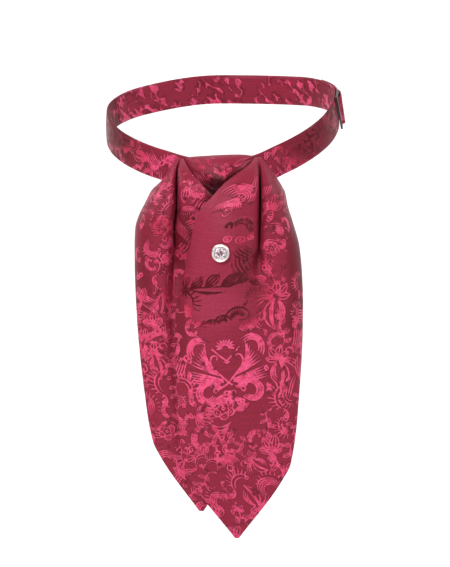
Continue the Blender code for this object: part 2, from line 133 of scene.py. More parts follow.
# Weights of a clamped cubic B-spline with that many control points, at samples from 0 to 1
def splineWeights(controls, at):
    knots = np.concatenate([np.zeros(3), np.linspace(0, 1, controls - 2), np.ones(3)])
    at = np.asarray(at, float)[:, None]
    weights = ((at >= knots[None, :-1]) & (at < knots[None, 1:])).astype(float)
    for d in range(1, 4):
        leftSpan = knots[d:-1] - knots[: -d - 1]
        rightSpan = knots[d + 1 :] - knots[1:-d]
        left = np.where(leftSpan > 0, (at - knots[None, : -d - 1]) / np.where(leftSpan > 0, leftSpan, 1), 0)
        ahead = knots[None, d + 1 :] - at
        right = np.where(rightSpan > 0, ahead / np.where(rightSpan > 0, rightSpan, 1), 0)
        weights = left * weights[:, :-1] + right * weights[:, 1:]
    weights[at[:, 0] >= 1.0] = 0.0
    weights[at[:, 0] >= 1.0, controls - 1] = 1.0
    return weights


def unit(vectors):
    return vectors / np.maximum(np.linalg.norm(vectors, axis=-1, keepdims=True), 1e-9)


def faceNormals(face):
    return unit(np.cross(np.gradient(face, axis=1), np.gradient(face, axis=0)))


# Each row of points set at even steps along its own length: cumulative length, then linear interpolation
def evenRows(face, columns):
    step = np.linalg.norm(np.diff(face, axis=1), axis=2)
    length = np.concatenate([np.zeros((len(face), 1)), np.cumsum(step, axis=1)], axis=1)
    share = length / length[:, -1:]
    wanted = np.linspace(0, 1, columns)
    spread = [
        np.stack([np.interp(wanted, share[i], face[i, :, k]) for k in range(3)], axis=1)
        for i in range(len(face))
    ]
    return np.array(spread)


# Cloth coordinates of a face: length along each row from a middle column, and length down that column
def clothPlaces(face, middleColumn):
    across = np.linalg.norm(np.diff(face, axis=1), axis=2)
    across = np.concatenate([np.zeros((len(face), 1)), np.cumsum(across, axis=1)], axis=1)
    down = np.linalg.norm(np.diff(face[:, middleColumn], axis=0), axis=1)
    down = np.concatenate([[0], np.cumsum(down)])
    return np.stack([across - across[:, middleColumn : middleColumn + 1], 0 * across - down[:, None]], axis=2)


# Damask figures. Every figure is made of strokes: a curve with a half width along it, in millimetres
def strokeCurve(points, samples):
    points = np.asarray(points, float)
    t = np.linspace(0, 1, samples)[:, None]
    if len(points) == 2:
        return points[0] + t * (points[1] - points[0])
    if len(points) == 3:  # a quadratic arc past the middle point
        return (1 - t) ** 2 * points[0] + 2 * t * (1 - t) * points[1] + t**2 * points[2]
    return splineWeights(len(points), t[:, 0]) @ points


def stroke(points, widths, samples=14):
    curve = strokeCurve(points, samples)
    return curve, smoothThrough(np.linspace(0, 1, len(widths)), widths, np.linspace(0, 1, samples))


def arc(centre, radius, start, end, widths, squash=1.0, samples=16):
    turn = np.radians(np.linspace(start, end, samples))
    radius = np.linspace(*radius, samples) if hasattr(radius, "__len__") else radius
    curve = np.stack([centre[0] + radius * np.cos(turn), centre[1] + squash * radius * np.sin(turn)], axis=1)
    return curve, smoothThrough(np.linspace(0, 1, len(widths)), widths, np.linspace(0, 1, samples))


# Several strokes that pass in even steps from a first path to a last one
def sweep(first, last, count, widths, samples=12):
    first, last = np.array(first, float), np.array(last, float)
    return [stroke(first + (last - first) * i / (count - 1), widths, samples) for i in range(count)]


def mirrored(strokes):
    return strokes + [(curve * np.array((-1.0, 1.0)), width) for curve, width in strokes]


def moved(strokes, at=(0, 0), size=1.0, turn=0.0, flip=False):
    c, s = math.cos(math.radians(turn)), math.sin(math.radians(turn))
    spin = np.array(((c, s), (-s, c)))
    side = np.array((-1.0 if flip else 1.0, 1.0))
    at = np.asarray(at, float)
    return [((curve * side * size) @ spin + at, width * size**0.8) for curve, width in strokes]


# Short teeth across an arc, longest at its middle
def comb(centre, inner, outer, start, end, teeth, width, lean=0.0):
    found = []
    for i in range(teeth):
        share = (i + 0.5) / teeth
        a = math.radians(start + share * (end - start))
        b = a + math.radians(lean)
        reach = inner + (outer - inner) * (0.55 + 0.45 * math.sin(math.pi * share))
        foot = np.array((centre[0] + inner * math.cos(a), centre[1] + inner * math.sin(a)))
        tip = np.array((centre[0] + reach * math.cos(b), centre[1] + reach * math.sin(b)))
        bow = (tip - foot)[::-1] * np.array((-1, 1)) * 0.12
        found.append(stroke((foot, (foot + tip) / 2 + bow, tip), (width * 0.5, width, width * 0.6), 7))
    return found


def curl(radius, turns, width):
    widths = (width, width * 0.9, width * 0.8)
    return [arc((0, 0), (radius, radius * 0.28), 90, 90 + 360 * turns, widths, samples=24)]


def leaf(length, width, bend):
    path = ((0, 0), (bend, length * 0.5), (bend * 0.3, length))
    return [stroke(path, (0.25, width, width * 0.8, 0.15), 12)]


# A leaf drawn as a few long lines from its foot to its tip
def veinedLeaf(length, width, lines, bend, half=0.42):
    return sweep(
        ((0, 0), (bend - width, length * 0.3), (bend - width, length * 0.7), (bend * 0.4, length)),
        ((0, 0), (bend + width, length * 0.3), (bend + width, length * 0.7), (bend * 0.4, length)),
        lines, (0.3, half, half, 0.2),
    )


def clover(radius):
    petals = [arc((0, 0), 0.5, 0, 360, (0.6, 0.6), samples=8)]
    petal = arc((0, radius * 1.15), radius * 0.62, -60, 240, (0.4, 0.6, 0.4), samples=12)
    for turn in (-80, 0, 80):
        petals += moved([petal], turn=turn)
    return petals


# A curved spine with fingers along one side, longest at its middle, as of an acanthus leaf
def fingered(path, fingers, reach, side, lean, half=0.48):
    samples = 28
    spine, spineWidth = stroke(path, (0.35, 0.55, 0.55, 0.3), samples)
    found = [(spine, spineWidth)]
    for i in range(fingers):
        k = 2 + round((samples - 5) * i / (fingers - 1))
        ahead = spine[min(k + 1, samples - 1)] - spine[k - 1]
        heading = -math.degrees(math.atan2(ahead[0], ahead[1]))
        length = reach * (0.45 + 0.55 * math.sin(math.pi * (i + 0.6) / (fingers + 0.2)))
        bent = ((0, 0), (0.05 * length * side, 0.6 * length), (0.4 * length * side, length))
        found += moved([stroke(bent, (0.3, half, 0.25), 8)], spine[k], turn=heading - side * lean)
    return found


def heartFigure():
    half = [
        stroke(
            ((0.0, -10.6), (3.6, -6.4), (8.6, -2.2), (10.0, 1.6), (8.4, 4.8)),
            (0.5, 0.62, 0.62, 0.55), 24,
        ),
        stroke(((8.4, 4.8), (6.4, 6.2), (4.4, 4.6), (5.6, 3.0)), (0.5, 0.55, 0.5, 0.4), 12),
        stroke(((0.0, 2.0), (2.4, 3.8), (5.0, 6.4), (7.6, 9.0)), (0.45, 0.55, 0.55, 0.7), 16),
        stroke(((0.0, 0.4), (0.9, 1.6), (1.8, 1.2)), (0.4, 0.5, 0.4), 8),
        arc((0, 9.0), 2.2, 0, 90, (0.45, 0.5, 0.45), samples=10),
        stroke(((0.3, -10.8), (3.2, -13.2), (6.4, -13.6)), (0.5, 0.7, 1.0), 12),
    ]
    half += comb((0, 9.0), 2.9, 6.0, -12, 90, 5, 0.6)
    half += sweep(
        ((9.8, 0.8), (12.6, 6.0), (11.4, 12.8)),
        ((5.4, -6.2), (12.0, -3.2), (20.6, 1.2)),
        8, (0.3, 0.52, 0.5, 0.2),
    )
    half += sweep(
        ((3.4, -8.4), (11.0, -6.0), (21.0, -3.0)),
        ((2.6, -10.2), (12.0, -11.4), (23.0, -8.6)),
        5, (0.25, 0.5, 0.5, 0.2),
    )
    half += sweep(
        ((9.0, 13.6), (17.5, 20.0), (25.0, 12.0), (21.0, 3.6)),
        ((11.4, 12.0), (17.0, 15.2), (20.8, 11.2), (18.6, 6.2)),
        3, (0.25, 0.65, 0.7, 0.4), 18,
    )
    half += sweep(
        ((4.4, -13.0), (9.5, -7.6), (20.0, -10.6), (19.4, -21.4), (11.6, -23.0), (7.6, -19.0)),
        ((6.0, -14.2), (9.8, -9.8), (16.8, -12.6), (15.6, -19.6), (11.8, -19.6), (10.0, -17.6)),
        3, (0.3, 0.6, 0.65, 0.4), 24,
    )
    half += comb((20.2, -15.4), 1.4, 4.6, -80, 60, 6, 0.5)
    half += moved(clover(1.9), (6.8, -12.8), turn=-70)
    half += moved(clover(1.5), (5.4, -20.6), turn=160)
    half += moved(curl(1.5, 1.0, 0.5), (22.6, -4.4))
    whole = mirrored(half)
    whole += moved(clover(1.8), (0.0, -16.0), turn=180)
    whole += [stroke(((0, -19.8), (0, -22.4)), (0.5, 0.9, 0.3), 6)]
    return whole


def roseFigure():
    found = [arc((0, 0), 0.9, 0, 360, (0.45, 0.45), samples=10)]
    for i in range(5):
        found += moved([arc((0, 2.2), 1.6, -10, 190, (0.3, 0.5, 0.3), samples=10)], turn=72 * i + 20)
    petal = [
        arc((0, 4.4), 2.7, -20, 200, (0.35, 0.62, 0.35), samples=14),
        arc((0, 4.2), 1.2, 10, 170, (0.2, 0.4, 0.2), samples=8),
    ]
    for i in range(6):
        found += moved(petal, turn=60 * i)
    found += sweep(
        ((-7.8, 1.2), (-3.6, 9.6), (4.8, 10.6), (9.8, 4.6)),
        ((-6.4, 0.6), (-3.0, 7.2), (3.8, 8.0), (7.8, 3.4)),
        2, (0.3, 0.6, 0.6, 0.3), 18,
    )
    found += moved(veinedLeaf(11.0, 2.3, 4, 0.8), (6.6, -2.4), turn=-64)
    return found + sweep(
        ((-7.0, 4.6), (-9.6, 5.0), (-12.0, 8.0)),
        ((-5.4, -5.4), (-9.0, -6.0), (-11.6, -4.4)),
        6, (0.3, 0.5, 0.25), 8,
    )


# Chevrons one below another, narrower downward
def pineFigure():
    rows = []
    for i in range(5):
        down = 1.9 * i
        path = ((0.3, -down), (3.6 - 0.6 * i, 0.3 - down), (6.6 - 1.1 * i, 3.0 - down))
        rows.append(stroke(path, (0.4, 0.55, 0.3), 8))
    return mirrored(rows)


def dropFigure():
    half = [
        arc((1.7, 0), 1.9, 80, 280, (0.4, 0.6, 0.4), samples=12),
        arc((1.3, -4.4), 1.5, 70, 290, (0.4, 0.55, 0.4), samples=12),
        stroke(((0.3, -7.0), (1.6, -9.0), (0.2, -11.2)), (0.4, 0.55, 0.3), 8),
    ]
    return mirrored(half)


def shellFigure():
    found = comb((0, 0), 4.4, 8.6, 172, 6, 12, 0.56, lean=-14)
    found += [
        arc((0, 0), 3.8, 178, 2, (0.3, 0.6, 0.3), squash=0.92, samples=18),
        arc((-8.2, -0.4), (2.4, 0.9), -10, 260, (0.7, 1.1, 0.7), samples=14),
    ]
    return found + sweep(
        ((7.6, 2.0), (11.0, 0.4), (10.6, -4.6)),
        ((6.0, 0.6), (8.4, -0.6), (8.0, -3.6)),
        3, (0.3, 0.5, 0.2),
    )


def ringPair():
    found = []
    for x, radius in ((-3.9, 2.2), (3.6, 2.4)):
        found.append(arc((x, 0), radius, 0, 360, (0.6, 0.6), squash=0.86, samples=18))
        found.append(arc((x, 0), 0.5, 0, 360, (0.45, 0.45), samples=8))
    return found + [stroke(((-1.4, 1.6), (0, 3.8), (1.2, 1.6)), (0.4, 0.7, 0.4), 8)]


def branchFigure():
    found = [
        stroke(
            ((-20, -1.8), (-8, 0.2), (4.5, 1.2), (14.7, 3.6), (23.0, 9.0)),
            (0.7, 0.55, 0.6, 0.7, 0.4), 36,
        ),
        stroke(((-17, -1.0), (-9, -3.0), (-3, -3.4), (7, -1.4)), (0.4, 0.55, 1.1, 0.3), 20),
    ]
    for x, y, turn, length, width, lines in (
        (-14.0, -0.4, 40, 9.4, 3.6, 4),
        (-5.0, 1.0, 34, 10.6, 3.8, 4),
        (4.0, 1.6, 46, 13.0, 4.2, 5),
        (14.0, 3.6, 28, 10.6, 3.4, 4),
        (20.0, 5.0, 78, 11.0, 3.2, 4),
        (-18.0, -1.4, -20, 8.6, 2.8, 3),
    ):
        found += moved(veinedLeaf(length, width, lines, 1.1, 0.6), (x, y), turn=-turn)
    for i in range(4):
        found += moved(leaf(6.6 - 0.6 * i, 0.8, 0.8), (-18.6 + 0.8 * i, -2.0), turn=150 + 26 * i)
    return found + fingered(((-17, -2.6), (-9.4, -6.0), (-8.4, -11.0), (-13.6, -16.0)), 8, 5.4, -1, 58, 0.55)


# A swirl of lines that narrows to a curl, with teeth outside it
def swirl():
    found = sweep(
        ((-6.0, 9.0), (4.0, 13.0), (11.0, 4.0), (7.0, -6.0), (-1.0, -7.0)),
        ((-3.0, 6.0), (1.6, 7.6), (4.6, 3.0), (3.0, -1.8), (-0.4, -2.4)),
        4, (0.25, 0.48, 0.5, 0.3), 20,
    )
    return found + comb((0, 0), 10.0, 13.6, 70, -50, 8, 0.5) + moved(curl(1.8, 1.0, 0.45), (-2.4, -4.6))


def scrollFlower():
    petals = []
    sizes = ((-6, 9.5, 2.9), (42, 9.6, 3.0), (-54, 8.8, 2.6), (88, 8.6, 2.4), (-100, 7.0, 2.0))
    for turn, length, width in sizes:
        petals += moved(veinedLeaf(length, width, 3, 0.6), turn=-turn)
    for x in (-9.8, -5.2, -3.4):
        stem = ((-0.8, -1.5), (x, -4.0), (x - 0.6, -13.0), (-2.8, -18.6))
        petals.append(stroke(stem, (0.35, 0.6, 0.6, 0.25), 18))
    petals += sweep(
        ((1.2, -2.0), (5.6, -6.4), (5.0, -12.8), (-0.6, -15.0)),
        ((0.6, -3.0), (2.0, -6.6), (1.6, -10.4), (-0.6, -11.6)),
        3, (0.3, 0.5, 0.5, 0.3),
    )
    petals += [arc((-6.6, 5.6), (3.4, 1.4), 200, -80, (0.35, 0.55, 0.4), samples=16)]
    return petals + sweep(
        ((-2.0, 0.6), (-9.0, 3.4), (-16.0, -2.4)),
        ((-2.0, -0.6), (-8.0, -0.6), (-13.0, -5.6)),
        3, (0.4, 0.5, 0.2),
    )


def acanthus():
    found = fingered(((0, 0), (-5.0, 5.0), (-2.0, 13.6), (5.6, 14.0)), 9, 5.6, -1, 46)
    found += [stroke(((1.8, 0.6), (-1.8, 5.6), (0.4, 10.6), (5.2, 11.4)), (0.25, 0.5, 0.5, 0.3), 18)]
    found += moved(curl(1.7, 1.1, 0.45), (6.6, 12.4), turn=-40)
    return found + fingered(((0.6, -0.4), (3.6, -3.0), (3.4, -7.0), (-0.6, -9.0)), 5, 3.6, 1, 56)


def sprig():
    found = []
    sizes = ((40, 8.4, 2.4), (-38, 7.6, 2.2), (2, 9.6, 2.2), (84, 6.0, 1.7), (-80, 5.6, 1.7))
    for turn, length, width in sizes:
        found += moved(veinedLeaf(length, width, 3, 0.4), turn=-turn)
    found += [stroke(((0, 0), (0.8, -4.0), (-1.6, -8.0)), (0.5, 0.5, 0.3), 12)]
    return found + moved(curl(1.7, 1.0, 0.45), (-2.6, -8.6))


# Pale arcs one inside another, as of a fan
def fanFigure():
    found = sweep(
        ((-11.0, -4.0), (-8.0, 8.0), (6.0, 9.0), (9.0, -3.0)),
        ((-4.0, -3.4), (-3.4, 1.0), (2.4, 1.4), (3.0, -2.6)),
        5, (0.25, 0.5, 0.5, 0.3), 18,
    )
    found.append(arc((-0.6, -5.6), 2.4, 0, 360, (0.5, 0.5), samples=18))
    return found + comb((-0.6, -5.6), 3.2, 5.2, -20, 110, 6, 0.45)


# Large petals, each an outline with lines inside it
def petalFigure():
    found = []
    for turn, length in ((-62, 10.0), (-22, 13.0), (20, 14.0), (60, 11.0)):
        found += moved(veinedLeaf(length, length * 0.34, 4, 0.8, 0.44), turn=-turn)
    return found + fingered(((0, 0), (2.4, -3.0), (1.6, -7.0), (-3.0, -9.0)), 5, 3.4, 1, 60)


# A C of three lines with fingers outside it and a curl at both ends
def scrollFigure():
    outside = ((6.0, 8.6), (-7.6, 10.4), (-8.6, -8.6), (5.0, -8.4))
    inside = ((5.4, 5.6), (-3.0, 6.0), (-3.6, -5.0), (4.4, -5.4))
    found = sweep(outside, inside, 3, (0.3, 0.5, 0.5, 0.3), 24)
    found += fingered(outside, 10, 4.2, -1, 64)
    found += moved(curl(1.6, 1.1, 0.45), (5.4, 4.0))
    return found + moved(curl(1.4, 1.1, 0.45), (4.4, -4.2), turn=180)


# A long stem bent twice with leaves of lines along it and a curl at each end
def vine():
    found = [stroke(((-1.5, -13.0), (6.0, -6.5), (-5.5, 3.5), (2.5, 13.0)), (0.35, 0.5, 0.5, 0.35), 32)]
    for x, y, turn, length, width in (
        (0.6, -9.4, 78, 7.0, 2.2),
        (1.6, -6.0, -42, 8.0, 2.5),
        (0.8, -2.6, 62, 7.4, 2.3),
        (-0.6, 1.0, -66, 7.6, 2.3),
        (-1.2, 4.4, 40, 8.2, 2.6),
        (0.2, 8.4, -38, 6.4, 2.0),
    ):
        found += moved(veinedLeaf(length, width, 3, 0.9), (x, y), turn=-turn)
    found += moved(curl(2.0, 1.1, 0.45), (0.8, 13.6))
    found += moved(curl(1.8, 1.1, 0.45), (-3.0, -12.4), turn=120)
    return found + comb((0.8, 13.6), 2.8, 5.0, -30, 150, 7, 0.42)


# Fine lines that sweep down side by side
def waves():
    first = ((-10.0, 8.0), (-3.0, 1.0), (4.0, 2.0), (12.0, -2.0))
    last = ((-11.0, -4.0), (-4.0, -11.0), (3.0, -8.0), (9.0, -12.0))
    return sweep(first, last, 5, (0.35, 0.72, 0.72, 0.3), 18)


def stripes():
    first = ((-5.0, 3.6), (0.0, 5.6), (5.2, 4.4))
    last = ((-4.4, -3.6), (0.0, -2.0), (5.6, -3.0))
    return sweep(first, last, 5, (0.3, 0.62, 0.3), 10)


# Hatched domes side by side, each larger than the one before
def scallops():
    found = [stroke(((-19.0, -5.4), (-15.0, -1.4), (-10.4, -5.0)), (0.4, 1.7, 0.5), 12)]
    for x, y, outer, teeth in ((-9.0, -7.4, 4.6, 6), (-2.4, -7.0, 5.4, 7), (6.4, -6.4, 7.8, 10)):
        found += comb((x, y), 0.42 * outer, 0.86 * outer, 150, 30, teeth, 0.5)
        found.append(arc((x, y), outer, 160, 20, (0.4, 0.7, 0.4), samples=20))
    return found


figureKinds = {
    "heart": heartFigure(),
    "rose": roseFigure(),
    "pine": pineFigure(),
    "drop": dropFigure(),
    "shell": shellFigure(),
    "scallops": scallops(),
    "rings": ringPair(),
    "branch": branchFigure(),
    "flower": scrollFlower(),
    "acanthus": acanthus(),
    "swirl": swirl(),
    "sprig": sprig(),
    "fan": fanFigure(),
    "petals": petalFigure(),
    "scroll": scrollFigure(),
    "vine": vine(),
    "waves": waves(),
    "stripes": stripes(),
    "clover": clover(2.0),
    "curl": curl(3.0, 1.2, 0.6),
    "leaf": veinedLeaf(11.0, 3.2, 4, 1.2),
}


# Depth inside the nearest stroke for every point: half width squared less distance squared, over twice the
# half width. It is smooth across a stroke, so that thin strokes stay whole between the grid's points
def figureDepth(places, layout):
    flat = places.reshape(-1, 2)
    farAway, thinnest, margin = -9.0, 0.15, 2.0
    depth = np.full(len(flat), farAway)
    for kind, at, size, turn, flip in layout:
        strokes = moved(figureKinds[kind], at, size, turn, flip)
        corners = np.concatenate([curve for curve, _ in strokes])
        low, high = corners.min(axis=0) - margin - 1, corners.max(axis=0) + margin + 1
        near = np.flatnonzero(((flat > low) & (flat < high)).all(axis=1))
        if not len(near):
            continue
        for curve, width in strokes:
            reach = width.max() + margin
            box = (flat[near] > curve.min(axis=0) - reach) & (flat[near] < curve.max(axis=0) + reach)
            chosen = near[box.all(axis=1)]
            if not len(chosen):
                continue
            start, along = curve[:-1], np.diff(curve, axis=0)
            gap = flat[chosen][:, None, :] - start[None]
            share = np.clip((gap * along).sum(-1) / np.maximum((along**2).sum(-1), 1e-9), 0, 1)
            away = np.linalg.norm(gap - share[..., None] * along, axis=-1)
            half = np.maximum(width[:-1] + share * np.diff(width), thinnest)
            inside = ((half**2 - away**2) / (2 * half)).max(axis=1)
            depth[chosen] = np.maximum(depth[chosen], inside)
    return depth.reshape(places.shape[:2])


# Where a figure that is seen at (x, z) lies on the cloth: the nearest point that faces the front
def layoutOn(face, places, table):
    normals = faceNormals(face)
    facingShare, farAway = 0.25, 1e4
    facing = normals[..., 1] * np.sign(np.median(normals[..., 1])) > facingShare
    layout = []
    for kind, x, z, size, turn, flip in table:
        off = (face[..., 0] - x) ** 2 + (face[..., 2] - z) ** 2 + np.where(facing, 0.0, farAway)
        i, j = np.unravel_index(np.argmin(off), off.shape)
        layout.append((kind, places[i, j], size, turn, bool(flip)))
    return layout


# Small figures set at random on a slanted lattice in the boxes, where no figure is near yet. A box is two x
# and two z. The seed makes every run the same
def addFill(face, places, layout, fill):
    random = np.random.default_rng(fill["seed"])
    nearCloth, clearDepth = 2.0, -0.6
    depth = figureDepth(places, layout)
    step, kinds = fill["step"], fill["kinds"]
    low, high = places.reshape(-1, 2).min(axis=0), places.reshape(-1, 2).max(axis=0)
    for i, v in enumerate(np.arange(low[1], high[1], step)):
        for u in np.arange(low[0] + step / 2 * (i % 2), high[0], step):
            spot = np.array((u, v)) + random.uniform(-0.2, 0.2, 2) * step
            kind = kinds[random.integers(len(kinds))]
            turn = random.uniform(0, 360)
            size = random.uniform(*fill["sizes"])
            off = ((places - spot) ** 2).sum(axis=2)
            j = np.unravel_index(np.argmin(off), off.shape)
            x, z = face[j][0], face[j][2]
            inside = any(x0 <= x <= x1 and z0 <= z <= z1 for x0, x1, z0, z1 in fill["boxes"])
            near = off < (fill["clear"] * size) ** 2
            if inside and off[j] < nearCloth and depth[near].max() < clearDepth:
                layout.append((kind, spot, size, turn, False))
                depth = np.maximum(depth, figureDepth(places, layout[-1:]))
    return layout


# Patches with a flat middle and soft edges, summed over a face: x, z, half width, half height and amount
def softPatches(face, table, base=0.0):
    total = np.full(face.shape[:2], base)
    for x, z, wide, tall, amount in table:
        off = ((face[..., 0] - x) / wide) ** 2 + ((face[..., 2] - z) / tall) ** 2
        total += amount * np.exp(-(off**2))
    return total


# Creases pressed into a face: depth times a bell of the distance to each crease's line in the front view
def pressCreases(face, table):
    normals = faceNormals(face)
    normals = normals * -np.sign(np.median(normals[..., 1]))
    flat = face[..., (0, 2)]
    press = np.zeros(face.shape[:2])
    for points, depth, width in table:
        line, fade = stroke(points, (0.0, 1.0, 1.0, 0.0), 24)
        gap = flat[:, :, None, :] - line[:-1]
        along = np.diff(line, axis=0)
        share = np.clip((gap * along).sum(-1) / (along**2).sum(-1), 0, 1)
        away = np.linalg.norm(gap - share[..., None] * along, axis=-1)
        strength = fade[:-1] + share * np.diff(fade)
        press = press + depth * (strength * np.exp(-((away / width) ** 2))).max(axis=2)
    return face - press[..., None] * normals


# A closed shell between a face and its back, with a round edge whose middle stands out by part of the wall.
# The back has every third row and column of the face, whose counts are three times something and one
def clothShell(name, face, back, material, places, depth, paintedSheen, paintedShading):
    rows, columns = face.shape[:2]
    down, across = unit(np.gradient(face, axis=0)), unit(np.gradient(face, axis=1))
    outward = np.zeros_like(face)
    outward[0] -= down[0]
    outward[-1] += down[-1]
    outward[:, 0] -= across[:, 0]
    outward[:, -1] += across[:, -1]
    thickness = np.linalg.norm(face - back, axis=2, keepdims=True)
    middle = (face + back) / 2 + edgeRound * thickness * unit(outward)
    index = np.arange(rows * columns).reshape(rows, columns)
    rim = np.concatenate([index[0, :], index[1:, -1], index[-1, -2::-1], index[-2:0:-1, 0]])
    ring = index.size + np.arange(len(rim))
    coarse = index[::3, ::3]
    behind = np.full(index.size, -1)
    behind[coarse.ravel()] = index.size + len(rim) + np.arange(coarse.size)
    a, b, c, d = (part.ravel() for part in (index[:-1, :-1], index[:-1, 1:], index[1:, 1:], index[1:, :-1]))
    e, f, g, h = (
        behind[part.ravel()] for part in (coarse[:-1, :-1], coarse[:-1, 1:], coarse[1:, 1:], coarse[1:, :-1])
    )
    after, ringAfter = np.roll(rim, -1), np.roll(ring, -1)
    edge = np.stack([rim, after, ringAfter, ring], 1)
    quads = np.concatenate([np.stack([a, d, c, b], 1), np.stack([e, f, g, h], 1), edge])
    start = np.arange(0, len(rim), 3)
    ends = [np.roll(ring, -k)[start] for k in range(4)]
    strips = np.stack([*ends, behind[np.roll(rim, -3)[start]], behind[rim[start]]], 1)
    points = [face.reshape(-1, 3), middle.reshape(-1, 3)[rim], back.reshape(-1, 3)[coarse.ravel()]]
    points = np.concatenate(points)
    mesh = bpy.data.meshes.new(name)
    mesh.from_pydata((points * mm).tolist(), [], quads.tolist() + strips.tolist())
    mesh.update()
    if signedVolume(points, quads) < 0:
        mesh.flip_normals()

    def onAllPoints(values):
        return np.concatenate([values, values[rim], values[coarse.ravel()]])

    # The figure depth, the figures' painted sheen and the ground's painted shading go onto every point
    for key, values in (("figure", depth), ("paintedSheen", paintedSheen), ("paintedShading", paintedShading)):
        layer = mesh.attributes.new(key, "FLOAT", "POINT")
        layer.data.foreach_set("value", onAllPoints(values.ravel()).astype(np.float32))
    flat = onAllPoints(places.reshape(-1, 2)) * mm
    loops = np.empty(len(mesh.loops), np.int32)
    mesh.loops.foreach_get("vertex_index", loops)
    mesh.uv_layers.new(name="cloth").data.foreach_set("uv", flat[loops].astype(np.float32).ravel())
    mesh.shade_smooth()
    return addPiece(name, mesh, material)


def backOf(face, wall):
    normals = faceNormals(face)
    return face + wall * np.sign(np.median(normals[..., 1])) * normals


# A piece of silk: its shell with the damask of a settings dictionary, riding on the row's one body
def makeCloth(name, face, back, places, settings, replaced):
    layout = layoutOn(face, places, settings["figures"])
    for fill in settings["fills"]:
        layout = addFill(face, places, layout, fill)
    # The soft patches of the settings give the figures' painted sheen and the ground's painted shading
    piece = clothShell(
        name, face, back, silk, places, figureDepth(places, layout),
        softPatches(face, settings["paintedSheen"], settings["paintedSheenBase"]), softPatches(face, settings["paintedShading"]),
    )
    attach(piece, "root")
    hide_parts(replaced)
    print(name, "made")
    return piece


# Area of a face in square metres, as the sum of its cells
def clothArea(face):
    sides = np.cross(face[1:, :-1] - face[:-1, :-1], face[:-1, 1:] - face[:-1, :-1])
    return float(np.linalg.norm(sides, axis=2).sum()) * mm * mm


# The nearest count that is three times something and one
def threesAndOne(count):
    return 3 * max(2, round((count - 1) / 3)) + 1


# Six times the volume under the quads seen from the origin, whose sign says whether they face outwards
def signedVolume(points, quads):
    a, b, c, d = (points[quads[:, i]] for i in range(4))
    return (a * (np.cross(b, c) + np.cross(c, d))).sum()


def addPiece(name, mesh, material):
    mesh.materials.append(material)
    piece = bpy.data.objects.new(name, mesh)
    scene.collection.objects.link(piece)
    return piece


# Materials
def newMaterial(name):
    material = bpy.data.materials.new(name)
    material.use_nodes = True
    nodes = material.node_tree.nodes
    return material, nodes, material.node_tree.links, nodes["Principled BSDF"]


def setSockets(shader, values):
    for name, value in values.items():
        shader.inputs[name].default_value = value


def addNode(nodes, kind, **values):
    node = nodes.new(kind)
    for name, value in values.items():
        setattr(node, name, value)
    return node


# Another node's socket or a constant goes into a socket
def feed(links, socket, value):
    if isinstance(value, bpy.types.NodeSocket):
        links.new(value, socket)
    else:
        socket.default_value = (*value, 1.0) if socket.type == "RGBA" else value


def mathNode(nodes, links, operation, *values):
    node = addNode(nodes, "ShaderNodeMath", operation=operation)
    for socket, value in zip(node.inputs, values):
        feed(links, socket, value)
    return node.outputs[0]


# The weave: fine satin threads across the cloth, finer ribs up it, and slubs, as a height and a tone
def makeWeaveGroup():
    group = bpy.data.node_groups.new("silkWeave", "ShaderNodeTree")
    inputs = (("Vector", "NodeSocketVector"), ("Threads", "NodeSocketFloat"), ("Slub", "NodeSocketFloat"))
    for name, kind in inputs:
        group.interface.new_socket(name, in_out="INPUT", socket_type=kind)
    for name in ("Height", "Tone"):
        group.interface.new_socket(name, in_out="OUTPUT", socket_type="NodeSocketFloat")
    nodes, links = group.nodes, group.links
    source, sink = nodes.new("NodeGroupInput"), nodes.new("NodeGroupOutput")
    threads = []
    for direction, share in (("X", 1.0), ("Y", 0.62)):
        wave = addNode(nodes, "ShaderNodeTexWave", wave_type="BANDS", bands_direction=direction)
        links.new(source.outputs["Vector"], wave.inputs["Vector"])
        scale = mathNode(nodes, links, "MULTIPLY", source.outputs["Threads"], share / 20.0)
        links.new(scale, wave.inputs["Scale"])
        threads.append(wave.outputs["Fac"])
    stretch = addNode(nodes, "ShaderNodeVectorMath", operation="MULTIPLY")
    links.new(source.outputs["Vector"], stretch.inputs[0])
    stretch.inputs[1].default_value = (60.0, 1400.0, 1.0)
    slub = addNode(nodes, "ShaderNodeTexNoise")
    setSockets(slub, {"Scale": 1.0, "Detail": 3.0})
    links.new(stretch.outputs[0], slub.inputs["Vector"])
    weave = mathNode(nodes, links, "MULTIPLY", *threads)
    strength = mathNode(nodes, links, "MULTIPLY", slub.outputs["Fac"], source.outputs["Slub"])
    links.new(mathNode(nodes, links, "ADD", weave, strength), sink.inputs["Height"])
    links.new(slub.outputs["Fac"], sink.inputs["Tone"])
    return group


weaveGroup = makeWeaveGroup()
silkFinish = {
    # The ground's darkest colour is painted shade and its palest is painted light; a figure's darkest colour
    # is painted shade and its brightest is a painted sheen
    "groundShade": (0.125, 0.006, 0.014),
    "ground": (0.245, 0.015, 0.037),
    "groundLit": (0.330, 0.028, 0.066),
    "figureShade": (0.078, 0.003, 0.007),
    "figureMiddle": (0.50, 0.032, 0.080),
    "figureSheen": (0.95, 0.120, 0.290),
    "edge": 0.16,  # softness of a figure's edge, in millimetres
    "threads": 3200.0,
    "slub": 0.5,
    # The glow cloud breaks the figures' painted sheen into glints, and the shade cloud varies their painted
    # shade
    "glowCloud": (300.0, 0.35, 0.58, 0.26, 1.0),  # a cloud's scale, the noise's range and what it gives
    "dullCloud": (170.0, 0.33, 0.44, 0.85, 0.0),
    "shadeCloud": (240.0, 0.55, 0.66, 1.0, 0.6),
    "streakCloud": (900.0, 0.3, 0.7, 0.88, 1.10),
    "roughness": (0.50, 0.36),  # of the ground and of a figure
    "weaveHeight": 0.10,  # beside a figure's height of 1
    "bump": {"Strength": 0.55, "Distance": 0.0004},
}
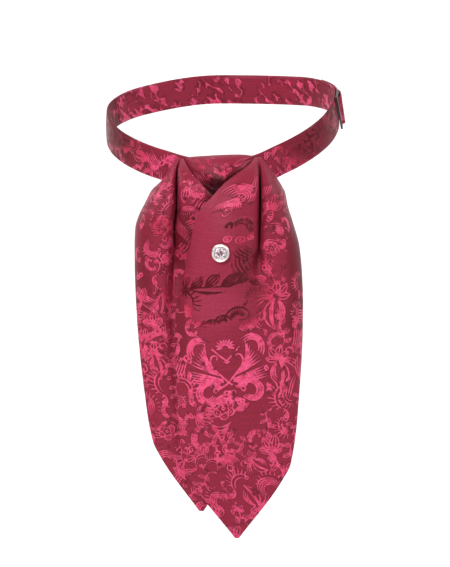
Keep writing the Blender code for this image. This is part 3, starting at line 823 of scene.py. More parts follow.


# Damask by the depth inside a figure: the ground darkens beside a line as painted relief shade, a line's
# painted sheen is brightest near its edge and broad parts are duller in their middle, and a cloudy noise
# leaves some lines dull. The figures' painted sheen makes them brighter as if they caught the light or darker
# as if turned from it, and the ground's painted shading darkens it in creases, under the knot and on sides
# turned from the light, and lightens it where it faces the light
def makeSilk(finish):
    material, nodes, links, shader = newMaterial("silkDamask")
    figure, paintedSheen, paintedShading = (
        addNode(nodes, "ShaderNodeAttribute", attribute_name=name).outputs["Fac"]
        for name in ("figure", "paintedSheen", "paintedShading")
    )
    uv = addNode(nodes, "ShaderNodeUVMap", uv_map="cloth").outputs["UV"]
    weave = addNode(nodes, "ShaderNodeGroup", node_tree=weaveGroup)
    setSockets(weave, {"Threads": finish["threads"], "Slub": finish["slub"]})
    links.new(uv, weave.inputs["Vector"])

    def ranged(source, low, high, outLow=0.0, outHigh=1.0, smooth=True):
        kind = "SMOOTHSTEP" if smooth else "LINEAR"
        node = addNode(nodes, "ShaderNodeMapRange", interpolation_type=kind)
        for i, value in enumerate((source, low, high, outLow, outHigh)):
            feed(links, node.inputs[i], value)
        return node.outputs[0]

    def mixed(factor, first, second, blend="MIX"):
        node = addNode(nodes, "ShaderNodeMix", data_type="RGBA", blend_type=blend)
        for i, value in ((0, factor), (6, first), (7, second)):
            feed(links, node.inputs[i], value)
        return node.outputs[2]

    def product(first, second):
        return mathNode(nodes, links, "MULTIPLY", first, second)

    def cloud(scale, low, high, outLow, outHigh):
        noise = nodes.new("ShaderNodeTexNoise")
        setSockets(noise, {"Scale": scale, "Detail": 2.0})
        links.new(uv, noise.inputs["Vector"])
        return ranged(noise.outputs["Fac"], low, high, outLow, outHigh)

    mask = ranged(figure, -finish["edge"], finish["edge"])
    # Painted sheen: figures above 0 are drawn brighter as if they caught the light, below 0 darker as if
    # turned from it
    glow = product(ranged(paintedSheen, 0.0, 1.0, smooth=False), cloud(*finish["glowCloud"]))
    glow = product(glow, ranged(figure, 0.3, 0.8, 1.0, 0.35))
    figureColor = mixed(glow, finish["figureMiddle"], finish["figureSheen"])
    figureColor = mixed(cloud(*finish["dullCloud"]), figureColor, finish["figureShade"])
    shaded = product(ranged(paintedSheen, -0.8, 0.0, 1.0, 0.0, False), cloud(*finish["shadeCloud"]))
    figureColor = mixed(shaded, figureColor, finish["figureShade"])
    # Painted shading of the ground: below 0 it is painted into shade, above 0 it is painted lighter as if lit
    ground = mixed(ranged(paintedShading, -1.0, 0.0, smooth=False), finish["groundShade"], finish["ground"])
    ground = mixed(ranged(paintedShading, 0.0, 1.0, smooth=False), ground, finish["groundLit"])
    # Painted relief shade: the ground darkens just outside a figure's line
    beside = product(ranged(figure, -0.9, -0.1, 0.0, 0.8), ranged(paintedSheen, -0.5, 0.2))
    ground = mixed(beside, ground, finish["groundShade"])
    colour = mixed(mask, ground, figureColor)
    streakAndShade = ranged(weave.outputs["Tone"], 0.3, 0.7, 0.88, 1.10, False)
    streakAndShade = product(streakAndShade, cloud(*finish["streakCloud"]))
    # Deep painted shade below -1, in creases and under the knot, darkens the whole colour further
    streakAndShade = product(streakAndShade, ranged(paintedShading, -2.6, -1.0, 0.22, 1.0, False))
    streakAndShadeColor = addNode(nodes, "ShaderNodeCombineColor")
    for i in range(3):
        links.new(streakAndShade, streakAndShadeColor.inputs[i])
    links.new(mixed(1.0, colour, streakAndShadeColor.outputs[0], "MULTIPLY"), shader.inputs["Base Color"])
    links.new(ranged(mask, 0.0, 1.0, *finish["roughness"], False), shader.inputs["Roughness"])
    height = (weave.outputs["Height"], finish["weaveHeight"], ranged(figure, -0.5, 0.35))
    bump = addNode(nodes, "ShaderNodeBump")
    setSockets(bump, finish["bump"])
    links.new(mathNode(nodes, links, "MULTIPLY_ADD", *height), bump.inputs["Height"])
    links.new(bump.outputs["Normal"], shader.inputs["Normal"])
    setSockets(shader, {
        "Sheen Weight": 0.06, "Sheen Roughness": 0.4, "Sheen Tint": (1.0, 0.35, 0.5, 1.0),
        "Specular IOR Level": 0.32, "Specular Tint": (1.0, 0.55, 0.66, 1.0),
    })
    return material


silk = makeSilk(silkFinish)
print("materials made")


# The neckband. Height of its middle line round the neck, which repeats every full turn
def neckHeight(angle):
    places, heights = np.array(neck["angle"], float), np.array(neck["height"], float)
    places = np.concatenate([places[1:-1] - 360, places, places[1:-1] + 360])
    return smoothThrough(places, np.concatenate([heights[1:-1], heights, heights[1:-1]]), angle)


def arcPerDegree(angle):
    turn = np.radians(angle)
    return np.hypot(neck["halfWidth"] * np.cos(turn), neck["halfDepth"] * np.sin(turn)) * math.pi / 180


# A point at an angle round the neck, up across the strap square to its path, and out from its outer face
def neckPoint(angle, up, out):
    climb = np.arctan((neckHeight(angle + 1) - neckHeight(angle - 1)) / (2 * arcPerDegree(angle)))
    turn = np.radians(angle - up * np.sin(climb) / arcPerDegree(angle))
    lean = neck["leanLeft"] * np.clip(np.sin(turn), 0, 1) ** 2 * up / strap["width"]
    x = (neck["halfWidth"] + out - lean) * np.sin(turn) - neck["shift"]
    y = -(neck["halfDepth"] + out - lean) * np.cos(turn)
    return np.stack(np.broadcast_arrays(x, y, neckHeight(angle) + up * np.cos(climb)), axis=-1)


def bandFace(start, end):
    stations = threesAndOne(abs(end - start) / strap["stationDeg"])
    angle = np.linspace(start, end, stations)[:, None]
    across = np.linspace(-1, 1, strap["columns"])[None, :]
    turn = np.radians(angle)
    ripple = strap["pucker"] * np.sin(turn * 17 + 1.3 * across) * np.sin(turn * 7.3 + 2.0)
    crown = strap["crown"] * (1 - across**2)
    out = crown - strap["crown"] + ripple * (1 - 0.6 * across**2)
    return neckPoint(angle, across * strap["width"] / 2, out)


# Length along the strap and height up it, with the pattern's grain along the strap
def bandPlaces(face):
    step = np.linalg.norm(np.diff(face.mean(axis=1), axis=0), axis=1)
    along = np.concatenate([[0], np.cumsum(step)])
    width = np.linspace(-0.5, 0.5, face.shape[1]) * strap["width"]
    return np.stack(np.broadcast_arrays(along[:, None], width[None, :]), axis=2)


def makeBand(name, start, end, settings, replaced, **words):
    face = bandFace(start, end)
    angle = np.linspace(start, end, face.shape[0])[:, None]
    up = np.linspace(-0.5, 0.5, face.shape[1])[None, :] * strap["width"]
    inner = neckPoint(angle, up, -strap["thickness"])
    places = bandPlaces(face)
    piece = makeCloth(name, face, inner, places, settings, replaced)


largeKinds = ("vine", "acanthus", "scroll", "flower", "vine", "swirl", "petals")
strapFill = {"seed": 5, "step": 6.0, "sizes": (0.45, 0.62), "clear": 4.6, "kinds": largeKinds}
smallKinds = ("acanthus", "vine", "scroll", "waves", "curl")
smallFill = {"seed": 12, "step": 3.4, "sizes": (0.45, 0.62), "clear": 4.0, "kinds": smallKinds}
neckbandRightSettings = {
    "figures": (
        ("shell", -63.0, -7.0, 0.8, 70, 0),
        ("acanthus", -55.0, -15.0, 0.62, 60, 0),
        ("leaf", -48.5, -14.0, 0.7, 150, 0),
        ("flower", -46.0, -18.5, 0.5, 100, 0),
        ("acanthus", -38.0, -22.0, 0.75, 60, 1),
        ("fan", -31.0, -19.5, 0.6, -30, 0),
        ("sprig", -27.5, -26.5, 0.7, -150, 0),
    ),
    "fills": (
        {**strapFill, "boxes": ((-80, -66, -20, 30), (-80, -20, 5, 30))},
        {**smallFill, "boxes": ((-70, -20, -40, 10),)},
    ),
    # The figures' painted sheen starts from the first number below and the next patches darken it into
    # painted shade; the last patches paint shade on the ground, darkest towards the strap's far end where it
    # turns away from the light
    "paintedSheenBase": 0.55,
    "paintedSheen": ((-63.0, -6.0, 9.0, 9.0, -1.5), (-50.0, -14.0, 12.0, 10.0, -0.45)),
    "paintedShading": ((-68.0, -4.0, 16.0, 20.0, -1.3), (-50.0, -18.0, 12.0, 9.0, -0.5)),
}
neckbandLeftSettings = {
    "figures": (
        ("clover", 25.0, -16.5, 0.7, 30, 0),
        ("leaf", 27.0, -21.5, 0.5, 130, 0),
        ("rose", 39.0, -16.5, 0.55, 20, 0),
        ("shell", 49.0, -12.0, 0.55, -60, 0),
        ("leaf", 55.0, -5.5, 0.6, 40, 0),
        ("flower", 60.5, -0.5, 0.5, 40, 1),
    ),
    "fills": (
        {**strapFill, "seed": 7, "boxes": ((-20, 20, -40, -10), (62, 75, -10, 30))},
        {**smallFill, "boxes": ((20, 70, -30, 10),)},
    ),
    # Painted sheen of the figures, put into painted shade towards the strap's far end, and painted shade on
    # the ground there, where the strap turns away from the light
    "paintedSheenBase": 0.5,
    "paintedSheen": ((50.0, -8.0, 20.0, 16.0, -1.3),),
    "paintedShading": ((50.0, -6.0, 24.0, 18.0, -0.65), (66.0, 6.0, 14.0, 12.0, -0.9)),
}
backStrapSettings = {
    "figures": (),
    "fills": ({**strapFill, "seed": 9, "boxes": ((-80, 80, -40, 40),)},),
    # Painted sheen of the figures and a patch of painted shade on the ground
    "paintedSheenBase": 0.5,
    "paintedSheen": (),
    "paintedShading": ((60.0, 20.0, 12.0, 20.0, -0.6),),
}
gapDeg = strap["seamGap"] / float(arcPerDegree(strap["frontSeam"]))
seamDeg = strap["seamGap"] / float(arcPerDegree(strap["leftSeam"]))
makeBand(
    "neckbandRight", strap["frontSeam"] - gapDeg, strap["rightSeam"], neckbandRightSettings,
    "neckband_right", rests_on=["neckband_left"],
)
makeBand("neckbandLeft", strap["frontSeam"], strap["leftSeam"], neckbandLeftSettings, "neckband_left")
makeBand(
    "backStrap", strap["leftSeam"] + seamDeg, strap["rightSeam"] + 360 - seamDeg,
    backStrapSettings, "back_strap",
)

# The strap's doubled end: up through the slide's front slot, over its bars and back along the strap
strapReturnSettings = {
    "angle": (85, 86, 87, 88, 90, 92, 94.2, 96.2, 98, 120),
    "out": (0.4, 1.0, 2.0, 2.3, 2.2, 2.0, 1.9, 1.1, 0.45, 0.4),
    "stations": 118,
    "spacing": 1.8,
    "thickness": 1.0,
    "figures": (),
    "fills": ({**strapFill, "seed": 11, "boxes": ((0, 80, -40, 40),)},),
    # Base of the figures' painted sheen
    "paintedSheenBase": 0.5,
    "paintedSheen": (),
    "paintedShading": (),
}


def makeStrapReturn(settings):
    places = settings["angle"]
    share = np.linspace(0, 1, settings["stations"])[:, None] ** settings["spacing"]
    angle = places[0] + (places[-1] - places[0]) * share
    up = np.linspace(-0.5, 0.5, strap["columns"])[None, :] * strap["width"]
    out = smoothThrough(places, settings["out"], angle)
    face = neckPoint(angle, up, out + settings["thickness"])
    onCloth = bandPlaces(face)
    piece = makeCloth("strapReturn", face, neckPoint(angle, up, out), onCloth, settings, "strap_return")


makeStrapReturn(strapReturnSettings)


# Blades. The columns are those of the tables: places across, then distances off the line behind the blades
bladeColumns = ("height", "inner", "crease", "outer", "edge", "crown", "valley", "lobe", "rim")
overBladeSettings = {
    "rows": (
        (-17.0, 17.0, 19.2, 21.4, 4.6, 5.4, 4.6, 5.0, 3.6),
        (-20.0, 14.2, 19.9, 23.8, 10.6, 12.6, 7.6, 9.0, 2.0),
        (-24.0, 8.4, 20.3, 27.0, 17.0, 19.4, 8.0, 13.0, 1.4),
        (-29.2, 0.8, 20.3, 30.6, 20.6, 24.0, 8.4, 17.6, 1.4),
        (-37.5, -7.4, 20.5, 35.2, 23.4, 27.4, 8.8, 22.0, 2.4),
        (-44.0, -13.4, 20.5, 36.4, 23.2, 28.4, 9.4, 23.6, 3.4),
        (-53.0, -17.2, 20.3, 39.2, 21.2, 28.6, 11.5, 24.0, 4.6),
        (-67.8, -20.4, 19.7, 43.2, 17.2, 27.6, 17.2, 22.8, 5.8),
        (-82.8, -23.6, 19.2, 44.6, 14.2, 24.6, 19.4, 20.4, 6.2),
        (-98.2, -27.4, 19.4, 45.2, 12.6, 21.0, 18.0, 18.0, 6.0),
        (-114.0, -28.4, 19.4, 45.0, 12.2, 17.8, 16.4, 15.8, 5.6),
        (-150.0, -27.0, 18.0, 43.0, 9.8, 12.2, 12.0, 11.6, 5.0),
        (-190.0, -23.5, 14.0, 38.0, 7.2, 7.8, 7.8, 7.6, 4.6),
        (-200.0, -18.4, 12.5, 32.6, 6.6, 6.8, 6.8, 6.8, 4.6),
        (-231.0, 5.8, 7.0, 8.4, 4.6, 4.8, 4.8, 4.8, 4.6),
    ),
    "rowStep": 0.56,
    "columns": 211,
    # Base of the figures' painted sheen
    "paintedSheenBase": 0.42,
    "fills": (
        {
            "seed": 3, "step": 6.0, "sizes": (0.6, 0.85), "clear": 4.6, "kinds": largeKinds,
            "boxes": (
                (-40, 60, -240, -174), (22, 60, -175, -105), (-40, -14, -175, -148), (36, 60, -110, -90),
            ),
        },
        {
            **smallFill,
            "boxes": (
                (21, 36, -92, -34), (12, 48, -114, -92), (24, 60, -175, -114), (-40, -21, -150, -108),
                (-40, -14, -175, -150), (-40, 60, -240, -174),
            ),
        },
    ),
    "middle": (-2.0, -68.0),  # where the pattern is measured from
    "creases": (
        (((-5.0, -36.5), (-12.0, -43.5), (-16.5, -60.0), (-22.0, -86.0)), 0.55, 2.2),
        (((19.4, -66.0), (19.6, -78.0), (19.3, -90.0), (18.0, -104.0)), 0.9, 3.2),
        (((13.0, -70.5), (17.0, -71.8), (21.5, -71.0), (25.0, -69.0)), 0.45, 0.9),
        (((14.0, -74.5), (18.0, -75.4), (22.0, -74.6), (24.0, -73.6)), 0.35, 0.9),
        (((14.5, -24.0), (12.5, -32.0), (13.5, -42.0), (15.5, -50.0)), 0.5, 1.8),
        (((25.0, -70.0), (31.0, -74.0), (36.0, -82.0), (38.0, -94.0)), 0.9, 2.8),
        (((27.0, -34.0), (30.5, -42.0), (31.5, -52.0), (29.5, -64.0)), 0.95, 2.6),
    ),
    "figures": (
        ("fan", 2.5, -42.5, 0.8, 8, 0),
        ("fan", 11.0, -35.5, 1.15, -24, 0),
        ("leaf", 16.2, -36.5, 1.25, 6, 0),
        ("shell", 9.0, -54.6, 0.95, -14, 0),
        ("rings", 5.5, -60.6, 1.0, -4, 0),
        ("clover", 14.0, -61.0, 0.8, 20, 0),
        ("waves", 12.4, -66.6, 0.62, -10, 0),
        ("waves", 12.0, -75.0, 0.78, -34, 0),
        ("branch", -6.5, -88.8, 1.0, -2, 0),
        ("sprig", -22.0, -102.6, 0.7, -70, 0),
        ("scallops", 0.5, -102.4, 1.0, 12, 0),
        ("petals", 14.0, -112.0, 0.62, 24, 0),
        ("scroll", -19.5, -112.5, 0.6, 20, 0),
        ("heart", 1.5, -132.0, 1.0, 5, 0),
        ("rose", -0.5, -157.5, 0.9, 5, 0),
        ("pine", -2.0, -168.0, 0.95, 4, 0),
        ("drop", -4.5, -180.5, 0.95, 5, 0),
        ("fan", 2.0, -188.0, 0.7, 20, 0),
        ("acanthus", 5.0, -203.0, 0.8, -30, 0),
        ("petals", 27.0, -44.5, 0.88, 2, 0),
        ("clover", 34.5, -46.0, 0.6, -30, 0),
        ("stripes", 29.4, -56.0, 0.8, -8, 0),
        ("vine", 33.0, -62.0, 0.5, -16, 1),
        ("rose", 26.6, -66.4, 0.62, 10, 0),
        ("clover", 23.4, -76.0, 0.95, 140, 0),
        ("acanthus", 33.5, -80.5, 0.62, 10, 1),
        ("vine", 27.0, -81.0, 0.6, 14, 0),
        ("flower", 29.5, -94.0, 1.0, 6, 0),
        ("scroll", 22.0, -104.0, 0.4, 180, 0),
        ("acanthus", 40.0, -107.0, 0.6, -10, 0),
        ("flower", 30.5, -130.0, 0.9, -6, 1),
        ("acanthus", 33.0, -158.0, 0.9, 20, 0),
        ("petals", 27.0, -183.0, 0.8, 10, 0),
        ("acanthus", -19.0, -150.0, 0.8, 20, 1),
        ("scroll", -15.0, -174.0, 0.8, -10, 0),
        ("clover", -22.0, -131.0, 0.9, 0, 0),
        ("sprig", 8.0, -216.0, 0.6, 0, 0),
    ),
    # Patches that change the figures' painted sheen; below 0 they paint the figures into shade
    "paintedSheen": (
        (8.5, -53.4, 11.0, 5.6, -1.7),
        (12.0, -71.0, 11.0, 9.5, -1.3),
        (-3.0, -90.0, 27.0, 11.5, -1.75),
        (0.0, -104.0, 18.0, 7.4, -1.75),
        (27.0, -40.0, 10.0, 9.0, -0.35),
        (1.5, -134.0, 27.0, 27.0, 0.25),
        (32.0, -76.0, 5.0, 8.0, -0.9),
    ),
    # Painted shading of the ground: darker on the lobe's sides turned from the light, in the crease and by
    # the inner edge, lighter on the panel that faces the light
    "paintedShading": (
        (-6.0, -75.0, 15.0, 50.0, 0.45),
        (32.0, -42.0, 8.0, 20.0, -0.35),
        (42.0, -72.0, 7.0, 34.0, -0.8),
        (42.0, -108.0, 9.0, 12.0, -0.8),
        (20.0, -72.0, 5.0, 12.0, -0.5),
        (12.0, -71.0, 9.0, 9.0, -0.2),
        (-2.0, -100.0, 18.0, 10.0, 0.45),
        (-26.0, -112.0, 5.0, 26.0, -0.7),
    ),
}
underBladeSettings = {
    "rows": (
        (-17.8, -23.6, -25.2, -27.4, 2.4, 2.8, 2.4, 2.4, 1.2),
        (-20.6, -21.6, -26.4, -29.6, 9.6, 10.4, 3.4, 5.6, -0.6),
        (-24.0, -19.3, -27.2, -31.8, 15.0, 16.2, 4.2, 10.5, -1.6),
        (-29.4, -14.4, -27.3, -35.4, 18.6, 20.2, 4.4, 14.8, -1.4),
        (-36.1, -8.2, -27.3, -42.2, 18.2, 20.8, 4.6, 18.6, 0.4),
        (-42.8, -3.0, -27.4, -45.8, 15.8, 19.6, 5.0, 20.4, 2.0),
        (-49.6, 1.0, -28.2, -49.2, 14.6, 15.6, 5.6, 20.6, 3.0),
        (-57.0, 5.0, -28.9, -51.4, 12.0, 13.6, 5.8, 19.8, 4.0),
        (-66.0, 9.0, -28.9, -51.8, 9.4, 11.4, 5.8, 18.4, 4.6),
        (-78.0, 12.5, -28.9, -51.7, 7.0, 8.6, 5.6, 16.0, 4.8),
        (-98.0, 16.0, -29.2, -51.0, 4.6, 6.0, 6.0, 12.4, 4.4),
        (-114.0, 17.0, -29.2, -50.0, 3.4, 4.6, 6.0, 10.0, 4.0),
        (-150.0, 16.5, -27.0, -46.0, 2.4, 3.4, 4.6, 6.2, 3.0),
        (-178.0, 14.0, -25.0, -41.0, 1.8, 2.6, 3.0, 3.6, 2.4),
        (-187.0, 7.6, -23.2, -36.4, 1.6, 2.2, 2.4, 2.8, 2.2),
        (-216.5, -11.8, -13.2, -14.6, 1.4, 1.6, 1.6, 1.6, 1.4),
    ),
    "rowStep": 0.60,
    "columns": 190,
    # Base of the figures' painted sheen
    "paintedSheenBase": 0.42,
    "fills": (
        {
            "seed": 4, "step": 6.0, "sizes": (0.55, 0.8), "clear": 4.6, "kinds": largeKinds,
            "boxes": ((-60, 20, -240, -104), (-28, 20, -110, -62)),
        },
        {
            **smallFill, "seed": 14,
            "boxes": (
                (-47, -29, -60, -24), (-44, -26, -110, -60), (-27, -4, -70, -24), (-60, 20, -240, -110),
            ),
        },
    ),
    "middle": (-39.0, -68.0),
    "creases": (
        (((-28.0, -47.2), (-22.0, -48.2), (-16.0, -47.6), (-10.0, -46.4)), 0.9, 1.3),
        (((-27.0, -53.5), (-21.0, -55.5), (-17.0, -55.0), (-12.0, -53.0)), 0.6, 1.2),
        (((-31.0, -26.0), (-34.0, -36.0), (-34.5, -50.0), (-31.5, -66.0)), 0.85, 2.2),
        (((-45.0, -44.0), (-41.0, -56.0), (-40.0, -68.0), (-42.0, -80.0)), 0.9, 3.0),
        (((-21.0, -25.0), (-20.0, -32.0), (-20.5, -38.0), (-23.0, -44.0)), 0.35, 1.6),
    ),
    "figures": (
        ("vine", -30.6, -27.0, 0.45, 10, 0),
        ("leaf", -23.0, -41.0, 1.05, 8, 0),
        ("petals", -17.0, -37.5, 0.55, -10, 0),
        ("fan", -18.0, -46.6, 0.7, -6, 0),
        ("waves", -24.0, -56.0, 0.5, -40, 0),
        ("stripes", -18.0, -55.0, 0.7, 10, 0),
        ("waves", -23.0, -65.0, 0.55, 60, 0),
        ("petals", -23.0, -74.0, 0.5, 10, 0),
        ("vine", -37.0, -36.0, 0.66, -34, 0),
        ("acanthus", -34.6, -49.0, 0.66, 6, 0),
        ("rose", -36.0, -54.8, 0.66, 20, 0),
        ("leaf", -47.8, -57.0, 0.8, 4, 0),
        ("scroll", -50.0, -72.0, 0.5, 10, 0),
        ("clover", -48.5, -84.0, 0.8, 30, 0),
        ("petals", -48.0, -97.0, 0.6, -10, 0),
        ("fan", -33.0, -64.0, 0.55, -160, 0),
        ("swirl", -40.0, -67.5, 0.6, 60, 1),
        ("sprig", -33.5, -74.0, 0.7, -60, 0),
        ("acanthus", -38.0, -82.0, 0.78, -20, 1),
        ("stripes", -30.5, -86.0, 0.8, 70, 0),
        ("flower", -36.0, -94.0, 0.62, -20, 1),
        ("scroll", -31.0, -103.0, 0.55, 0, 0),
        ("petals", -41.0, -112.0, 0.7, 10, 0),
        ("flower", -40.0, -128.0, 0.8, 0, 1),
        ("acanthus", -36.0, -150.0, 0.9, 10, 0),
        ("rose", -33.0, -172.0, 0.7, 0, 0),
        ("sprig", -24.0, -196.0, 0.8, 10, 0),
    ),
    # Patches that change the figures' painted sheen; below 0 they paint the figures into shade
    "paintedSheen": (
        (-22.0, -62.0, 6.0, 13.0, -0.6),
        (-30.0, -92.0, 6.0, 8.0, -0.7),
        (-36.0, -55.0, 7.0, 7.0, -0.5),
        (-31.0, -26.0, 4.0, 5.0, -0.4),
    ),
    # Painted shading of the ground: darker on the outer side and where the blade runs in under the other,
    # lighter where it faces the light
    "paintedShading": (
        (-46.0, -46.0, 7.0, 20.0, -0.4),
        (-47.0, -88.0, 6.0, 26.0, -0.7),
        (-35.0, -86.0, 6.0, 20.0, 0.3),
        (-22.0, -64.0, 8.0, 18.0, -1.0),
        (-17.0, -33.0, 6.0, 8.0, 0.3),
        (-8.0, -60.0, 9.0, 24.0, -1.4),
    ),
}
creaseForm = {
    "edgeRoll": 1.2,
    "fullDepth": 6.0,
    "slot": 0.5,
    "steepLimit": 1.7,
    "wallShare": 0.28,  # of the narrower of panel and lobe, where the wall is thinner than elsewhere
    "samples": 600,
}


def chestY(across, height):
    curve = across**2 / (2 * clothFall["roundRadius"])
    return clothFall["frontY"] - clothFall["slope"] * (clothFall["topZ"] - height) + curve


# Control points of a blade's section: the panel rises from the inner edge and falls into the crease, and the
# lobe rises from it and falls to the outer edge. The back is the same section drawn in by the wall at its
# sides and by the drop along its front
def bladeControls(at, wall, drop):
    side = np.sign(at["outer"] - at["inner"])
    panel = np.abs(at["crease"] - at["inner"])
    lobe = np.abs(at["outer"] - at["crease"])
    roll = np.minimum(creaseForm["edgeRoll"], 0.25 * np.minimum(panel, lobe))
    deep = np.clip((np.minimum(at["crown"], at["lobe"]) - at["valley"]) / creaseForm["fullDepth"], 0, 1)
    level = {name: at[name] - drop for name in ("edge", "crown", "valley", "lobe")}
    level["rim"] = np.minimum(at["rim"], np.where(drop > 0, level["lobe"] - 0.15, at["rim"]))
    shift = deep * wall

    def blend(shallow, full):
        return shallow + deep * (full - shallow)

    def rise(low, high, share):
        return level[low] + share * (level[high] - level[low])

    inner, crease, outer = at["inner"], at["crease"], at["outer"]
    slot = np.minimum(creaseForm["slot"], 0.1 * lobe)
    begin = inner + side * wall
    panel = panel - wall
    front = np.where(drop > 0, 0.0, 1.0)
    controls = (
        (begin + side * 0.1 * front * roll, at["edge"] - np.where(drop > 0, drop + 0.15, 0.8 * roll)),
        (begin, level["edge"] - np.where(drop > 0, 0.08, 0.35 * roll)),
        (begin + side * 0.3 * roll, level["edge"]),
        (begin + side * 0.16 * panel, rise("edge", "crown", 0.55)),
        (begin + side * 0.42 * panel, rise("edge", "crown", 1.0)),
        (begin + side * blend(0.62, 0.72) * panel, rise("edge", "crown", 1.0)),
        (begin + side * (blend(0.78, 0.92) * panel - shift), rise("valley", "crown", blend(0.7, 0.90))),
        (crease - side * (blend(0.1 * panel, slot) + shift), rise("valley", "crown", blend(0.2, 0.45))),
        (crease - side * (blend(0.02 * panel, 0.1) + 0.8 * shift), level["valley"]),
        (crease + side * (blend(0.04 * lobe, 0.15) + 0.8 * shift), level["valley"]),
        (crease + side * (blend(0.12 * lobe, 0.8 * slot) + shift), rise("valley", "lobe", blend(0.3, 0.6))),
        (crease + side * (blend(0.26, 0.13) * lobe + 0.8 * shift), rise("valley", "lobe", blend(0.8, 1.0))),
        (crease + side * 0.50 * (lobe - wall), rise("valley", "lobe", 1.04)),
        (crease + side * 0.82 * (lobe - wall), rise("rim", "lobe", 0.78)),
        (outer - side * wall, rise("rim", "lobe", 0.30)),
        (outer - side * wall, level["rim"]),
        (outer - side * (wall + 0.1 * front * roll), level["rim"] - np.where(drop > 0, 0.15, 0.3) * roll),
    )
    return np.stack([place for place, _ in controls], axis=1), np.stack([off for _, off in controls], axis=1)


# The front and the back of a blade, each row at even steps along its section
def bladeFaces(settings):
    top, tip = settings["rows"][0][0], settings["rows"][-1][0]
    heights = np.linspace(top, tip, threesAndOne((top - tip) / settings["rowStep"]))
    at = tableAt(bladeColumns, settings["rows"], heights)
    narrower = np.minimum(np.abs(at["crease"] - at["inner"]), np.abs(at["outer"] - at["crease"]))
    slant = np.sqrt(1 + np.gradient(at["crown"], heights) ** 2)
    wall = np.minimum(bladeWall, creaseForm["wallShare"] * narrower)
    drop = bladeWall * np.minimum(slant, creaseForm["steepLimit"])
    low, high = np.minimum(at["inner"], at["outer"]), np.maximum(at["inner"], at["outer"])
    faces = []
    for inset, lower in ((0 * wall, 0 * drop), (wall, drop)):
        x, off = bladeControls(at, inset, lower)
        weights = splineWeights(x.shape[1], np.linspace(0, 1, creaseForm["samples"]))
        x, off = x @ weights.T, off @ weights.T
        reachLow, reachHigh = x.min(axis=1, keepdims=True), x.max(axis=1, keepdims=True)
        wide = (high - low - 2 * inset)[:, None]
        x = (low + inset)[:, None] + (x - reachLow) * wide / (reachHigh - reachLow)
        z = np.repeat(heights[:, None], x.shape[1], axis=1)
        face = evenRows(np.stack([x, chestY(x, z) - off, z], axis=2), settings["columns"])
        faces.append(pressCreases(face, settings["creases"]))
    return faces


def nearestColumn(face, x, z):
    off = (face[..., 0] - x) ** 2 + (face[..., 2] - z) ** 2
    return int(np.unravel_index(np.argmin(off), off.shape)[1])


def makeBlade(name, settings, replaced):
    face, back = bladeFaces(settings)
    places = clothPlaces(face, nearestColumn(face, *settings["middle"]))
    if face[len(face) // 2, 0, 0] > face[len(face) // 2, -1, 0]:
        places = places * np.array((-1.0, 1.0))
    piece = makeCloth(name, face, back, places, settings, replaced)
    print(name, "cloth area", round(clothArea(face), 5))
    return face


makeBlade("underBlade", underBladeSettings, "under_blade")
overFace = makeBlade("overBlade", overBladeSettings, "over_blade")

# The wrap of the knot: rows are places across; a profile runs from its tucked top edge over the front
wrapSettings = {
    "columns": ("across", "top", "bottom", "bulge"),
    "rows": (
        (-22.6, -17.2, -22.4, 1.0),
        (-19.0, -16.4, -30.0, 6.7),
        (-11.0, -15.7, -40.0, 11.6),
        (-2.0, -15.1, -45.5, 13.6),
        (6.0, -14.9, -40.0, 12.0),
        (11.5, -15.1, -29.0, 7.6),
        (16.6, -16.0, -21.0, 1.6),
    ),
    "stations": 91,
    "profile": 85,
    "down": (0.0, 0.0, 0.02, 0.14, 0.34, 0.62, 0.88, 1.0, 0.98),
    "out": (0.12, 0.16, 0.42, 0.86, 1.0, 1.0, 0.76, 0.34, 0.08),
    "folds": 3,
    "foldHeight": 0.9,
    "gatherLeast": 0.35,  # share of the folds' height at the end where they are lowest
    # Base of the figures' painted sheen
    "paintedSheenBase": 0.42,
    "creases": (
        (((16.0, -17.0), (9.0, -19.5), (2.0, -23.0), (-6.0, -27.5)), 0.8, 1.2),
        (((16.0, -17.5), (10.0, -22.0), (4.0, -27.0), (-1.0, -33.0)), 0.8, 1.3),
        (((15.0, -16.6), (6.0, -17.6), (-3.0, -20.0), (-12.0, -22.0)), 0.4, 1.2),
    ),
    "fills": ({**smallFill, "seed": 15, "boxes": ((-18, 14, -34, -18),)},),
    "figures": (
        ("petals", -0.5, -26.0, 0.55, 10, 0),
        ("leaf", 4.6, -20.6, 0.9, -72, 0),
        ("stripes", 8.4, -24.4, 0.75, -64, 0),
        ("scroll", -7.6, -29.0, 0.42, 30, 0),
        ("acanthus", -6.0, -33.5, 0.5, -80, 0),
        ("sprig", -12.5, -22.5, 0.42, 20, 0),
    ),
    # Patches that change the figures' painted sheen; below 0 they paint the figures into shade
    "paintedSheen": (
        (-2.0, -33.0, 14.0, 5.4, -1.0),
        (9.0, -24.6, 6.0, 2.6, -1.3),
        (-12.0, -21.0, 8.0, 5.0, -0.45),
    ),
    # Painted shading of the ground: deep painted shade at the lower middle where the wrap goes in under the
    # blades, darker right of the middle, a little lighter near the top
    "paintedShading": ((-4.0, -35.0, 17.0, 10.0, -2.5), (-8.0, -19.0, 10.0, 4.0, 0.2), (9.0, -24.0, 8.0, 4.0, -0.8)),
}


